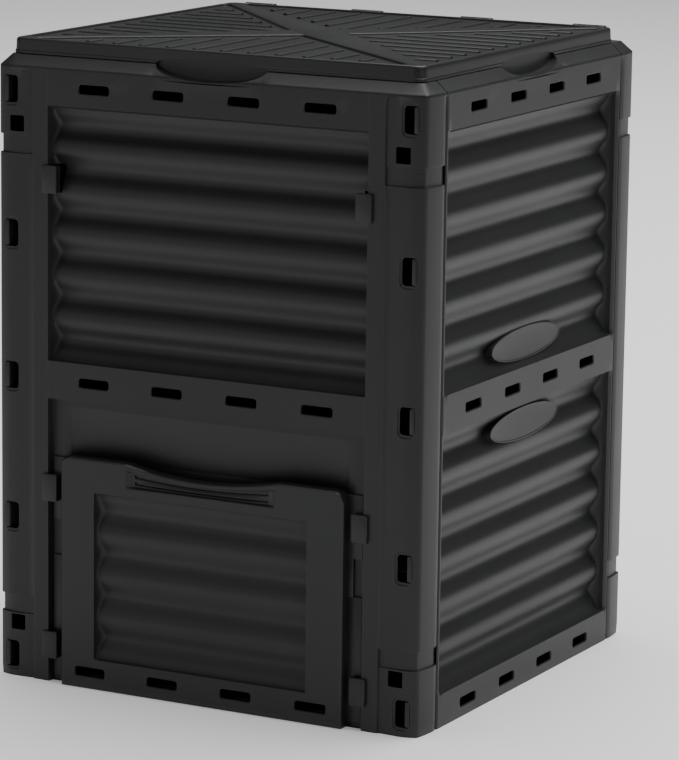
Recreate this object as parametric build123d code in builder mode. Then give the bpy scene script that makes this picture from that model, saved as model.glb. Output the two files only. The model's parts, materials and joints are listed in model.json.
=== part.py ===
from build123d import *
import os
from math import cos, hypot, pi

# Square garden compost bin: four moulded walls that hook together at the
# corners, a hinged lid and a lift-up hatch door in the front wall.
# Millimetres.  +X is right seen from the front, +Y is towards the back, +Z up.
# The origin is on the ground, under the middle of the bin.

# ---- overall ----
width = 603.25                # over the outer faces of the left and right walls
depth = 603.25                # over the outer faces of the front and back walls
height = 812.8                # ground to the top of the lid

# ---- mouldings ----
wall = 3.0                    # plastic thickness
corner_radius = 20.0          # outer radius of the corner posts
seam_gap = 0.4                # between neighbouring mouldings
return_width = 50.0           # front and back walls wrap this far round the corners

# ---- shoulder and neck under the lid ----
shoulder_rise = 14.0
shoulder_run = 15.0
neck_inset = 19.6             # outer face of the neck, in from the outer walls
neck_rise = 13.0              # height of the neck above the ledge

# ---- rails and recesses ----
top_rail = 45.5               # from the shoulder down to the upper recess
mid_rail_top = 413.5
mid_rail_bottom = 365.5
bottom_rail = 42.3
front_stile = 78.0            # outer corner to the recess, on the front and back walls
side_stile = 10.0             # seam to the recess, on the side walls
recess_depth = 10.0           # frame face to wave crests and flat floors
wave_depth = 11.0             # wave crest to wave valley
wave_pitch = 53.5             # nominal; whole waves are fitted to each recess
tray_rim = 1.0                # the recess sides stand this far behind the waves

# ---- air slots in the rails ----
slot_length = 43.0
slot_height = 11.5
slot_pitch = 105.0            # along the front and back walls
side_slot_pitch = 110.0       # along the side walls
slots_per_rail = 4
bottom_slot_z = 19.0

# ---- corner posts ----
hook_count = 5
hook_end_z = 28.5             # end hooks, in from the foot and from the shoulder
post_step = 55.5              # inner edge of the sloping post face, in from the corner
post_step_depth = 2.5
post_flat = 14.0              # where the sloping face meets the frame face again
hook_inset = 22.5             # middle of the hook pocket, in from the corner
pocket_width = 25.0
pocket_height = 42.0
pocket_sink = 2.5
pocket_radius = 7.0
hook_hole_width = 21.0
hook_hole_height = 36.0
hook_hole_radius = 4.0
tongue_width = 6.5
tongue_height = 32.0
clearance = 1.0               # round a hook tongue in its hole
lock_hole = 20.0              # square hole beside each end hook
lock_hole_radius = 2.0
lock_hole_inset = 32.5
lock_hole_from_hook = 42.5    # along the post, from the end hook
band_height = 22.5            # strap groove round each corner
band_depth = 4.0
band_from_hook = 68.5         # middle of the groove, along the post from the end hook

# ---- finger scoops under the lid ----
scoop_half_width = 77.0
scoop_half_height = 17.0
scoop_arch = 8.0              # rise of the lid skirt over a scoop

# ---- hatch ----
hatch_half_width = 185.0
sill = 15.0
hatch_top = 277.0
hatch_radius = 8.0
ramp_top = 356.0              # finger ramp above the hatch
ramp_foot = 290.0
ramp_depth = 12.0
ramp_half_width = 196.0
tab_reach = 15.0              # a tab's overhang over the recess
tab_root = 7.0                # a tab's footing on the stile
tab_height = 35.0
tab_proud = 4.5
tab_lip = 3.0
low_tab_z = 48.7
mid_tab_z = 252.0
high_tab_z = 642.0

# ---- hatch door ----
door_half_width = 200.0
door_height = 295.5
door_foot = 0.5
door_proud = 8.5
door_flange_reach = 4.0       # clearance from the flange to the recess side
door_flange_foot = 8.0
door_radius = 12.0
door_clearance = 0.3
window_half_width = 151.0
window_bottom = 39.5
window_top = 254.0
window_recess = 7.0
window_wave = 8.0
door_slot_z = 22.0
grip_half_width = 106.0
grip_sag = 12.0
grip_height = 18.0
grip_depth = 5.0
grip_radius = 4.0
groove_height = 2.4
groove_half_length = 95.0

# ---- name plates on the side walls ----
plate_half_length = 98.0
plate_half_height = 21.0
plate_proud = 1.0             # over the wave crests
plate_edge = 6.0              # from the middle rail to the plate

# ---- lid ----
lid_inset = 15.2              # lid skirt, in from the outer walls at front and sides
lid_back_inset = 39.6         # at the back, where the hinge sits
lid_skirt = 19.2
lid_wall = 2.5
lid_radius = 12.0
ledge_gap = 0.6
field_sink = 3.0              # ribbed fields, below the rim and the cross bands
rim_width = 8.0
band_end_width = 16.0         # cross band at the corners
band_mid_width = 58.0         # cross band in the middle
rib_pitch = 38.0
rib_width = 7.0
rib_height = 2.4
rib_end_gap = 16.0
field_radius = 5.0

# ---- hinge ----
hinge_count = 4
hinge_pitch = 163.0
knuckle_width = 28.0
knuckle_radius = 8.8
ear_width = 8.0
ear_gap = 0.5
hinge_back = 10.0             # lid's back edge to the hinge axis
pin_radius = 2.5
pin_clearance = 0.05
pin_head = 1.5                # rim of a pin's head, past the pin

# ---- worked out ----
ledge_z = height - lid_skirt - ledge_gap
shoulder_z = ledge_z - shoulder_rise
top_recess = shoulder_z - top_rail
half_w = width / 2
half_d = depth / 2
tray_depth = recess_depth + wave_depth + wall + tray_rim
eps = 0.01
past = 5.0                    # how far a cutting block runs past a surface

lid_half_width = half_w - lid_inset
lid_front = -half_d + lid_inset
lid_back = half_d - lid_back_inset
lid_length = lid_back - lid_front
lid_mid = (lid_front + lid_back) / 2
lid_floor = height - field_sink
hinge_y = lid_back + hinge_back
hinge_z = height - knuckle_radius
# the lid's back skirt swings down inside the hinge, and the neck stands clear of it
skirt_swing = hypot(hinge_back + lid_wall, hinge_z - ledge_z - ledge_gap)
neck_back = hinge_y - skirt_swing - clearance

hook_zs = [hook_end_z + i * (shoulder_z - 2 * hook_end_z) / (hook_count - 1) for i in range(hook_count)]
lock_zs = [hook_zs[0] + lock_hole_from_hook, hook_zs[-1] - lock_hole_from_hook]
band_zs = [hook_zs[0] + band_from_hook - past / 2, hook_zs[-1] - band_from_hook]
top_slot_z = shoulder_z - top_rail / 2
mid_slot_z = (mid_rail_top + mid_rail_bottom) / 2

hinge_xs = [(i - (hinge_count - 1) / 2) * hinge_pitch for i in range(hinge_count)]
door_travel = mid_rail_bottom - door_height - clearance

front_face = Plane(origin=(0, -half_d, 0), x_dir=(1, 0, 0), z_dir=(0, -1, 0))
back_face = Plane(origin=(0, half_d, 0), x_dir=(-1, 0, 0), z_dir=(0, 1, 0))
right_face = Plane(origin=(half_w, 0, 0), x_dir=(0, 1, 0), z_dir=(1, 0, 0))
left_face = Plane(origin=(-half_w, 0, 0), x_dir=(0, -1, 0), z_dir=(-1, 0, 0))


def block(x0, x1, y0, y1, z0, z1, mode=Mode.ADD):
    """An upright block between two corners."""
    with BuildSketch(Plane.XY.offset(z0)) as profile:
        with Locations(((x0 + x1) / 2, (y0 + y1) / 2)):
            Rectangle(x1 - x0, y1 - y0)
    extrude(profile.sketch, amount=z1 - z0, mode=mode)


def face_block(face, u0, u1, z0, z1, outer, inner, mode=Mode.ADD, radius=0.0):
    """A block on a wall's face: u along the wall, depths measured inwards from it."""
    with BuildSketch(face.offset(-outer)) as profile:
        with Locations(((u0 + u1) / 2, (z0 + z1) / 2)):
            if radius > 0:
                RectangleRounded(abs(u1 - u0), z1 - z0, radius)
            else:
                Rectangle(abs(u1 - u0), z1 - z0)
    extrude(profile.sketch, amount=-(inner - outer), mode=mode)


def rounded_loft(inset_low, inset_high, radius_low, radius_high, z0, z1, mode=Mode.ADD):
    """A rounded square block whose sides may lean in."""
    with BuildSketch(Plane.XY.offset(z0)) as low:
        RectangleRounded(width - 2 * inset_low, depth - 2 * inset_low, radius_low)
    with BuildSketch(Plane.XY.offset(z1)) as high:
        RectangleRounded(width - 2 * inset_high, depth - 2 * inset_high, radius_high)
    loft([low.sketch.face(), high.sketch.face()], mode=mode)


def neck_block(inset, z0, z1, mode=Mode.ADD):
    """The upright neck that the lid covers; the hinge ledge is behind it."""
    y0 = -half_d + neck_inset + inset
    y1 = neck_back - inset
    with BuildSketch(Plane.XY.offset(z0)) as profile:
        with Locations((0, (y0 + y1) / 2)):
            RectangleRounded(2 * (half_w - neck_inset - inset), y1 - y0, corner_radius - wall - inset)
    extrude(profile.sketch, amount=z1 - z0, mode=mode)


def body_shell():
    """The four walls, shoulder and neck as one hollow ring, before it is divided."""
    inner_radius = corner_radius - wall
    top_radius = corner_radius - wall / 2
    rounded_loft(0, 0, corner_radius, corner_radius, 0, shoulder_z)
    rounded_loft(0, shoulder_run, corner_radius, top_radius, shoulder_z, ledge_z)
    neck_block(0, ledge_z, ledge_z + neck_rise)
    inside = shoulder_z - wall / 2
    rounded_loft(wall, wall, inner_radius, inner_radius, -past, inside, Mode.SUBTRACT)
    rounded_loft(wall, shoulder_run, inner_radius, inner_radius, inside, ledge_z - wall, Mode.SUBTRACT)
    neck_block(wall, ledge_z - 2 * wall, height, Mode.SUBTRACT)


def section_plane(face, u=0.0):
    """A plane across a wall: local x runs outwards, local y runs up."""
    return Plane(origin=face.origin + face.x_dir * u, x_dir=face.z_dir, z_dir=face.x_dir * -1)


def wave_points(z0, z1, crest, valley, pitch):
    """Points of a wave that starts and ends on a crest, four to each wave."""
    waves = max(1, round((z1 - z0) / pitch))
    steps = 4 * waves
    middle = (crest + valley) / 2
    swing = (valley - crest) / 2
    return [(-(middle - swing * cos(2 * pi * i / 4)), z0 + i * (z1 - z0) / steps) for i in range(steps + 1)]


def wavy_cut(face, half_length, z0, z1, crest, valley, pitch, towards):
    """Cuts a pocket whose floor is a wave; towards is the depth of the pocket's open side."""
    points = wave_points(z0, z1, crest, valley, pitch)
    with BuildSketch(section_plane(face)) as profile:
        with BuildLine():
            Spline(*points, tangents=[(0, 1), (0, 1)])
            Polyline(points[-1], (-towards, z1), (-towards, z0), points[0])
        make_face()
    extrude(profile.sketch, amount=half_length, both=True, mode=Mode.SUBTRACT)


def wavy_recess(face, half_length, z0, z1):
    """A corrugated panel set back in a wall, the same thickness all over."""
    face_block(face, -half_length - wall, half_length + wall, z0 - wall, z1 + wall, wall / 2, tray_depth)
    valley = recess_depth + wave_depth
    wavy_cut(face, half_length, z0, z1, recess_depth, valley, wave_pitch, -past)
    wavy_cut(face, half_length, z0, z1, recess_depth + wall, valley + wall, wave_pitch, tray_depth + past)


def rail_slots(face, z, outer, inner, pitch=slot_pitch):
    """A row of air slots along a rail."""
    with BuildSketch(face.offset(-outer)) as profile:
        with Locations((0, z)):
            with GridLocations(pitch, 1, slots_per_rail, 1):
                RectangleRounded(slot_length, slot_height, slot_height / 3)
    extrude(profile.sketch, amount=-(inner - outer), mode=Mode.SUBTRACT)


def scoop(face):
    """The finger scoop at the top of a wall: a tub sunk in the shoulder, with the neck behind it."""
    back = neck_inset + wall
    with BuildSketch(face.offset(-wall / 2)) as profile:
        with Locations((0, ledge_z)):
            Ellipse(scoop_half_width + wall, scoop_half_height + wall)
        with Locations((0, ledge_z + height / 2)):
            Rectangle(4 * scoop_half_width, height, mode=Mode.SUBTRACT)
    extrude(profile.sketch, amount=-(back - wall / 2))
    with BuildSketch(face.offset(past)) as profile:
        with Locations((0, ledge_z)):
            Ellipse(scoop_half_width, scoop_half_height)
    extrude(profile.sketch, amount=-(neck_inset + past), mode=Mode.SUBTRACT)


def corner_ring(z_mid, thick_height, inset, reach, mode):
    """A band round the outside of the corner posts, at one height."""
    with BuildSketch(Plane.XY.offset(z_mid - thick_height / 2)) as profile:
        RectangleRounded(width + 2 * past, depth + 2 * past, corner_radius + past)
        RectangleRounded(width - 2 * inset, depth - 2 * inset, corner_radius - inset, mode=Mode.SUBTRACT)
        Rectangle(width - 2 * reach, depth + 4 * past, mode=Mode.SUBTRACT)
    extrude(profile.sketch, amount=thick_height, mode=mode)


def corner_wall(face, has_hatch):
    """A front or back wall with its two corner posts and returns."""
    sign = -1 if face is front_face else 1
    recess = half_w - front_stile
    body_shell()
    # the strap grooves: the shell is first thickened behind each one
    for z in band_zs:
        with BuildSketch(Plane.XY.offset(z - band_height / 2 - wall)) as profile:
            RectangleRounded(width - 2 * wall + eps, depth - 2 * wall + eps, corner_radius - wall)
            inset = band_depth + wall
            RectangleRounded(width - 2 * inset, depth - 2 * inset, corner_radius - inset, mode=Mode.SUBTRACT)
            Rectangle(width - 2 * post_step - 2 * wall, depth, mode=Mode.SUBTRACT)
        extrude(profile.sketch, amount=band_height + 2 * wall)
        corner_ring(z, band_height, band_depth, post_step, Mode.SUBTRACT)
    # keep this wall's share of the ring
    y_seam = half_d - return_width
    if sign < 0:
        block(-width, width, -y_seam, depth, -past, height, Mode.SUBTRACT)
    else:
        block(-width, width, -depth, y_seam, -past, height, Mode.SUBTRACT)
    # post backing, sloping post faces, hook pockets and lock holes
    for side in (-1, 1):
        u_in = side * (half_w - post_step - wall)
        u_out = side * (half_w - post_flat)
        face_block(face, u_in, u_out, 0, shoulder_z - wall, wall / 2, 2 * wall)
        with BuildSketch(Plane.XY.offset(-past)) as profile:
            with BuildLine():
                edge = [(side * (half_w - post_step), sign * (half_d + past)),
                        (side * (half_w - post_step), sign * (half_d - post_step_depth)),
                        (side * (half_w - post_flat), sign * half_d),
                        (side * (half_w - post_flat), sign * (half_d + past))]
                Polyline(*edge, close=True)
            make_face()
        extrude(profile.sketch, amount=shoulder_z + 2 * past, mode=Mode.SUBTRACT)
        for z in hook_zs:
            mid = side * (half_w - hook_inset)
            face_block(face, mid - pocket_width / 2, mid + pocket_width / 2, z - pocket_height / 2,
                       z + pocket_height / 2, -past, pocket_sink, Mode.SUBTRACT, pocket_radius)
            face_block(face, mid - hook_hole_width / 2, mid + hook_hole_width / 2, z - hook_hole_height / 2,
                       z + hook_hole_height / 2, -past, 3 * wall, Mode.SUBTRACT, hook_hole_radius)
        for z in lock_zs:
            mid = side * (half_w - lock_hole_inset)
            half = lock_hole / 2
            face_block(face, mid - half, mid + half, z - half, z + half, -past, 3 * wall,
                       Mode.SUBTRACT, lock_hole_radius)
    # corrugated upper panel
    wavy_recess(face, recess, mid_rail_top, top_recess)
    if has_hatch:
        hatch_panel(face, recess)
    else:
        wavy_recess(face, recess, bottom_rail, mid_rail_bottom)
        rail_slots(face, bottom_slot_z, -past, 2 * wall)
    rail_slots(face, top_slot_z, -past, 2 * wall)
    rail_slots(face, mid_slot_z, -past, 2 * wall)
    if has_hatch:
        scoop(face)


def hatch_panel(face, recess):
    """The flat lower recess, the finger ramp, the hatch hole and the tabs that hold the door."""
    floor_back = recess_depth + wall
    face_block(face, -recess - wall, recess + wall, 0, mid_rail_bottom + wall, wall / 2, floor_back)
    face_block(face, -recess, recess, -past, mid_rail_bottom, -past, recess_depth, Mode.SUBTRACT)
    ramp_back = floor_back + ramp_depth
    with BuildSketch(section_plane(face)) as profile:
        with BuildLine():
            Polyline((-recess_depth - eps, ramp_top + 2 * wall), (-floor_back, ramp_top + 2 * wall),
                     (-ramp_back, ramp_foot + wall), (-ramp_back, hatch_top),
                     (-recess_depth - eps, hatch_top), close=True)
        make_face()
    extrude(profile.sketch, amount=ramp_half_width + wall, both=True)
    with BuildSketch(section_plane(face)) as profile:
        with BuildLine():
            Polyline((-recess_depth + past, ramp_top), (-recess_depth, ramp_top),
                     (-recess_depth - ramp_depth, ramp_foot), (-recess_depth - ramp_depth, hatch_top - past),
                     (-recess_depth + past, hatch_top - past), close=True)
        make_face()
    extrude(profile.sketch, amount=ramp_half_width, both=True, mode=Mode.SUBTRACT)
    face_block(face, -hatch_half_width, hatch_half_width, sill, hatch_top, -past, 2 * ramp_back,
               Mode.SUBTRACT, hatch_radius)
    # the upper tabs stand over core holes with their own walls
    for side in (-1, 1):
        rim_in = side * (recess - tab_reach - wall)
        rim_out = side * (recess + wall)
        half = tab_height / 2
        face_block(face, rim_in, rim_out, high_tab_z - half - wall,
                   high_tab_z + half + wall, recess_depth, tray_depth)
        hole_in = side * (recess - tab_reach)
        hole_out = side * recess
        face_block(face, hole_in, hole_out, high_tab_z - half,
                   high_tab_z + half, recess_depth - past, tray_depth + past, Mode.SUBTRACT)
        for z in (low_tab_z, mid_tab_z, high_tab_z):
            root = side * (recess + tab_root)
            tip = side * (recess - tab_reach)
            face_block(face, root, tip, z - half, z + half, -tab_proud, 0)
            lip = side * (recess - tab_reach + tab_lip)
            lip_depth = recess_depth - wall - 3 * door_clearance
            face_block(face, lip, tip, z - half, z + half, -tab_proud / 2, lip_depth)


def side_wall(face):
    """A left or right wall with hook flanges that reach behind the corner posts."""
    half = half_d - return_width - seam_gap
    recess = half - side_stile
    flange_out = wall + seam_gap
    flange_in = flange_out + wall
    body_shell()
    sign = 1 if face is right_face else -1
    low = -width if sign > 0 else -half_w + neck_inset + 2 * wall
    high = half_w - neck_inset - 2 * wall if sign > 0 else width
    block(low, high, -depth, depth, -past, height, Mode.SUBTRACT)
    block(-width, width, half, depth, -past, height, Mode.SUBTRACT)
    block(-width, width, -depth, -half, -past, height, Mode.SUBTRACT)
    reach = half_d - corner_radius
    for end in (-1, 1):
        near = end * (half - 2 * wall)
        far = end * reach
        top = shoulder_z - 2 * wall
        face_block(face, near, far, 0, top, flange_out, flange_in)
        web = end * half
        face_block(face, near, web, 0, top, wall / 2, flange_in)
        for z in band_zs:
            slack = band_height / 2 + wall + clearance
            face_block(face, web, far + end * clearance, z - slack, z + slack,
                       wall + eps, flange_in + past, Mode.SUBTRACT)
        for z in hook_zs:
            low_z = z - tongue_height / 2
            high_z = z + tongue_height / 2
            outer = hook_inset - hook_hole_width / 2 + clearance
            inner = outer + tongue_width
            bridge = end * (reach - clearance)
            back = end * (reach + wall)
            face_block(face, bridge, back, low_z, high_z, flange_out + clearance, inner)
            tip = end * (half_d - pocket_sink)
            face_block(face, back, tip, low_z, high_z, outer, inner)
    wavy_recess(face, recess, mid_rail_top, top_recess)
    wavy_recess(face, recess, bottom_rail, mid_rail_bottom)
    for z in (mid_rail_top + plate_edge + plate_half_height, mid_rail_bottom - plate_edge - plate_half_height):
        with BuildSketch(face.offset(plate_proud - recess_depth)) as profile:
            with Locations((0, z)):
                Ellipse(plate_half_length, plate_half_height)
        extrude(profile.sketch, amount=-(wave_depth + plate_proud))
    rail_slots(face, top_slot_z, -past, 2 * wall, side_slot_pitch)
    rail_slots(face, mid_slot_z, -past, 2 * wall, side_slot_pitch)
    rail_slots(face, bottom_slot_z, -past, 2 * wall, side_slot_pitch)
    scoop(face)


with BuildPart() as front_wall:
    corner_wall(front_face, has_hatch=True)

with BuildPart() as back_wall:
    corner_wall(back_face, has_hatch=False)
    # hinge ears on the ledge, a pair to each lid knuckle
    ear_offset = (knuckle_width + ear_width) / 2 + ear_gap
    for x in hinge_xs:
        for ear_x in (x - ear_offset, x + ear_offset):
            with BuildSketch(Plane.YZ.offset(ear_x)):
                with Locations((hinge_y, hinge_z)):
                    Circle(knuckle_radius)
                foot = ledge_z - wall / 2
                with Locations((hinge_y, (hinge_z + foot) / 2)):
                    Rectangle(2 * knuckle_radius, hinge_z - foot)
            extrude(amount=ear_width / 2, both=True)
    with BuildSketch(Plane.YZ):
        with Locations((hinge_y, hinge_z)):
            Circle(pin_radius + pin_clearance)
    extrude(amount=half_w, both=True, mode=Mode.SUBTRACT)

with BuildPart() as left_wall:
    side_wall(left_face)

with BuildPart() as right_wall:
    side_wall(right_face)


def hinge_rod(radius, x, length, mode=Mode.ADD):
    """A round bar on the hinge axis, centred at x."""
    with BuildSketch(Plane.YZ.offset(x)) as profile:
        with Locations((hinge_y, hinge_z)):
            Circle(radius)
    extrude(profile.sketch, amount=length / 2, both=True, mode=mode)


with BuildPart() as hinge_pins:
    pin_length = knuckle_width + 2 * (ear_gap + ear_width)
    head = pin_radius + pin_head
    for x in hinge_xs:
        hinge_rod(pin_radius, x, pin_length + 2 * pin_clearance)
        hinge_rod(head, x + (pin_length + wall / 2) / 2 + pin_clearance, wall / 2)


def lid_slab(inset, z0, z1, mode=Mode.ADD):
    """The lid's outline, set in all round."""
    with BuildSketch(Plane.XY.offset(z0)) as profile:
        with Locations((0, lid_mid)):
            RectangleRounded(2 * (lid_half_width - inset), lid_length - 2 * inset, lid_radius - inset)
    extrude(profile.sketch, amount=z1 - z0, mode=mode)


with BuildPart() as lid:
    lid_slab(0, ledge_z + ledge_gap, height)
    lid_slab(lid_wall, ledge_z, lid_floor - lid_wall, Mode.SUBTRACT)
    # four ribbed fields between a rim and two cross bands
    field_x = lid_half_width - rim_width
    field_y = lid_length / 2 - rim_width
    end = band_end_width / 2 ** 0.5
    mid = band_mid_width / 2 ** 0.5
    with BuildSketch(Plane.XY.offset(lid_floor)) as fields:
        with Locations((0, lid_mid)):
            for s in (-1, 1):
                Polygon((end - field_x, s * field_y), (field_x - end, s * field_y), (0, s * mid), align=None)
                Polygon((s * field_x, end - field_y), (s * field_x, field_y - end), (s * mid, 0), align=None)
        fillet(fields.vertices(), radius=field_radius)
    extrude(amount=field_sink + past, mode=Mode.SUBTRACT)
    with BuildSketch(Plane.XY.offset(lid_floor)):
        with Locations((0, lid_mid)):
            per_side = int((field_x - end - rib_pitch / 2) / rib_pitch)
            for i in range(-per_side, per_side + 1):
                x = i * rib_pitch
                low = mid + (field_y - mid) * abs(x) / (field_x - end) + rib_end_gap
                high = field_y - rib_end_gap
                if high - low > 2 * rib_width:
                    for s in (-1, 1):
                        with Locations((x, s * (low + high) / 2)):
                            SlotOverall(high - low, rib_width, rotation=90)
            per_side = int((field_y - end - rib_pitch / 2) / rib_pitch)
            for i in range(-per_side, per_side + 1):
                y = i * rib_pitch
                low = mid + (field_x - mid) * abs(y) / (field_y - end) + rib_end_gap
                high = field_x - rib_end_gap
                if high - low > 2 * rib_width:
                    for s in (-1, 1):
                        with Locations((s * (low + high) / 2, y)):
                            SlotOverall(high - low, rib_width)
    extrude(amount=rib_height)
    # the skirt arches up over the finger scoops
    for face in (front_face, left_face, right_face):
        with BuildSketch(face.offset(past)):
            with Locations((0, ledge_z + ledge_gap)):
                Ellipse(scoop_half_width, scoop_arch)
        extrude(amount=-(lid_inset + lid_wall + past + clearance), mode=Mode.SUBTRACT)
    # hinge knuckles
    for x in hinge_xs:
        hinge_rod(knuckle_radius, x, knuckle_width)
        block(x - knuckle_width / 2, x + knuckle_width / 2, lid_back - lid_wall / 2, hinge_y,
              hinge_z - knuckle_radius / 2, height)
    hinge_rod(pin_radius + pin_clearance, 0, width, Mode.SUBTRACT)


def door_outline(inset):
    """The door's front, with rounded top corners and a sagging grip in its top edge."""
    side = door_half_width - inset
    top = door_height - inset
    foot = door_foot + inset
    r = door_radius - inset
    sag = top - grip_sag
    k = 1 - 0.5 ** 0.5
    with BuildLine() as outline:
        Polyline((-grip_half_width, top), (r - side, top))
        ThreePointArc((r - side, top), (k * r - side, top - k * r), (-side, top - r))
        Polyline((-side, top - r), (-side, foot), (side, foot), (side, top - r))
        ThreePointArc((side, top - r), (side - k * r, top - k * r), (side - r, top))
        Line((side - r, top), (grip_half_width, top))
        ThreePointArc((grip_half_width, top), (0, sag), (-grip_half_width, top))
    make_face(outline.line)


with BuildPart() as door:
    back = recess_depth - door_clearance
    grip_back = -door_proud + wall + grip_depth
    grip_foot = door_height - grip_sag - grip_height
    with BuildSketch(front_face.offset(door_proud)):
        door_outline(0)
    extrude(amount=-(back + door_proud))
    # flange that slides behind the tabs
    reach = half_w - front_stile - door_flange_reach
    face_block(front_face, -reach, reach, door_flange_foot, door_height - wall, back - wall, back)
    with BuildSketch(front_face.offset(-grip_back)):
        door_outline(wall)
    extrude(amount=-2 * recess_depth, mode=Mode.SUBTRACT)
    with BuildSketch(front_face.offset(door_proud - wall)):
        door_outline(wall)
        with Locations((0, door_height)):
            Rectangle(2 * (grip_half_width + wall), 2 * (door_height - grip_foot + wall), mode=Mode.SUBTRACT)
    extrude(amount=-(grip_back + door_proud), mode=Mode.SUBTRACT)
    # the grip: a sunk band with two grooves
    face_block(front_face, -grip_half_width, grip_half_width, grip_foot, door_height + past,
               -door_proud - past, -door_proud + grip_depth, Mode.SUBTRACT, grip_radius)
    for i in (1, 2):
        z = grip_foot + i * grip_height / 3
        face_block(front_face, -groove_half_length, groove_half_length, z - groove_height / 2,
                   z + groove_height / 2, -door_proud, grip_back - wall / 2, Mode.SUBTRACT)
    # notches that let the lifted door clear the tabs
    free = low_tab_z + tab_height / 2 - door_flange_foot + clearance
    notch_low = mid_tab_z - tab_height / 2 - door_travel - clearance
    notch_high = mid_tab_z + tab_height / 2 - free + clearance
    for s in (-1, 1):
        edge = s * (half_w - front_stile - tab_reach - clearance)
        face_block(front_face, edge, s * half_w, notch_low, notch_high,
                   back - wall - past, back + past, Mode.SUBTRACT)
    # corrugated window
    crest = window_recess - door_proud
    valley = crest + window_wave
    face_block(front_face, -window_half_width - wall, window_half_width + wall, window_bottom - wall,
               window_top + wall, wall / 2 - door_proud, back)
    wavy_cut(front_face, window_half_width, window_bottom, window_top, crest, valley, wave_pitch,
             -door_proud - past)
    wavy_cut(front_face, window_half_width, window_bottom, window_top, crest + wall, valley + wall,
             wave_pitch, valley + wall + past)
    rail_slots(front_face, door_slot_z, -door_proud - past, -door_proud + 2 * wall)

os.makedirs("parts", exist_ok=True)
pieces = {
    "front_wall": front_wall,
    "back_wall": back_wall,
    "left_wall": left_wall,
    "right_wall": right_wall,
    "lid": lid,
    "hinge_pins": hinge_pins,
    "hatch_door": door,
}
for name, piece in pieces.items():
    piece.part.label = name
    export_step(piece.part, f"parts/{name}.step")
    print(name, len(piece.part.solids()), "solids", round(piece.part.volume / 1000, 1), "cm3")
print("hinge axis", round(hinge_y, 2), round(hinge_z, 2), "door travel", round(door_travel, 2))
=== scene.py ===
# %% Load the frame
import json
from math import ceil, cos, hypot, pi, radians, sin, sqrt
import bmesh
import bpy
import numpy as np
from mathutils import Matrix, Vector

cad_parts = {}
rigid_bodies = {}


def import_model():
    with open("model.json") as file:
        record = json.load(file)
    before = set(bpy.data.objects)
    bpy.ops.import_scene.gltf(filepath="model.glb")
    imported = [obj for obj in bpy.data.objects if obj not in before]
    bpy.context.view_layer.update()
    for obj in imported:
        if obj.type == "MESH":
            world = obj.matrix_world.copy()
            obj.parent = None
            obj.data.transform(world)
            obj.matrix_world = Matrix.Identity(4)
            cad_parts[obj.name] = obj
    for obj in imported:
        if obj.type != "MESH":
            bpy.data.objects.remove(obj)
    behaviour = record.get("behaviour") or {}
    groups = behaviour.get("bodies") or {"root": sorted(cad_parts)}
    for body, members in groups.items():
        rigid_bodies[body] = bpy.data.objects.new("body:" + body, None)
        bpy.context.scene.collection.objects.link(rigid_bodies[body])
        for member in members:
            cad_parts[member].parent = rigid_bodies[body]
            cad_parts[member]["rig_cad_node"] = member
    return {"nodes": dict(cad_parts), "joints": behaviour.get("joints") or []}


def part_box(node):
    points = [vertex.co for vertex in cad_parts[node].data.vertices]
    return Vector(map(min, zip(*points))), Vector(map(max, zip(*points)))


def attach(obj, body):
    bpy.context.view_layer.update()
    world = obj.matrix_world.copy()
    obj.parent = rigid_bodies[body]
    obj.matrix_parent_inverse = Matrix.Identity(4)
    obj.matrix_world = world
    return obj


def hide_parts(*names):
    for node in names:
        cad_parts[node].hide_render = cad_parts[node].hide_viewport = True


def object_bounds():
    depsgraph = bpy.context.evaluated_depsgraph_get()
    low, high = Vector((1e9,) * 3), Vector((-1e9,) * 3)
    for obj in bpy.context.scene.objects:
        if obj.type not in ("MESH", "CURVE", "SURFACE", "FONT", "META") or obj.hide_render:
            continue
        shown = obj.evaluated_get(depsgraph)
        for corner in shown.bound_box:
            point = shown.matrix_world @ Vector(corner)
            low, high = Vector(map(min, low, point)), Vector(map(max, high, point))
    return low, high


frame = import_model()
cad_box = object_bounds()
print("CAD box", [tuple(round(v, 4) for v in corner) for corner in cad_box])

# %% [markdown]
# The bin is a square, open-bottomed box of four moulded plastic walls, with a
# flat ribbed lid and a lift-up hatch.  Every size below is in millimetres and
# repeats the design's own driving sizes, so each wall has its ribs, slots and
# hooks just where the design puts them.  The overall sizes come from the frame.

# %% Overall sizes
MM = 0.001
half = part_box("front_wall")[1].x / MM
height = cad_box[1].z / MM
wall = 3.0
return_width = 50.0
seam_gap = 0.4
print("half width", round(half, 2), "height", round(height, 1))

# %% [markdown]
# From the ground up, a wall is a bottom rail, a corrugated panel, a middle
# rail, another panel, a top rail, the shoulder and the ledge.  Heights are
# measured from the ground, and places along a wall from its middle.

# %% Rails, panels and shoulder
ledge_z = height - 19.8
shoulder_z = ledge_z - 14.0
shoulder_run = 15.0
neck_inset = 19.6
neck_rise = 12.5
neck_back_inset = 46.9
top_recess = shoulder_z - 45.5
mid_rail = (365.5, 413.5)
bottom_rail = 42.3
upper_panel = (mid_rail[1], top_recess)
lower_panel = (bottom_rail, mid_rail[0])
front_recess = half - 78.0
side_half = half - return_width - seam_gap
side_recess = side_half - 10.0
recess_depth = 10.0
wave_depth = 11.0
wave_count = 6
slot_pitch, side_slot_pitch = 105.0, 110.0
top_slot_z = shoulder_z - 22.75
mid_slot_z = sum(mid_rail) / 2
bottom_slot_z = 19.0
print("upper panel", np.round(upper_panel, 1), "shoulder at", round(shoulder_z, 1))

# %% [markdown]
# The walls hook together along the corner posts: five hooks in each post, a
# square locking hole near each end, and a strap groove beyond those.  Tabs on
# the front hold the hatch door, and four hinge knuckles carry the lid.

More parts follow.
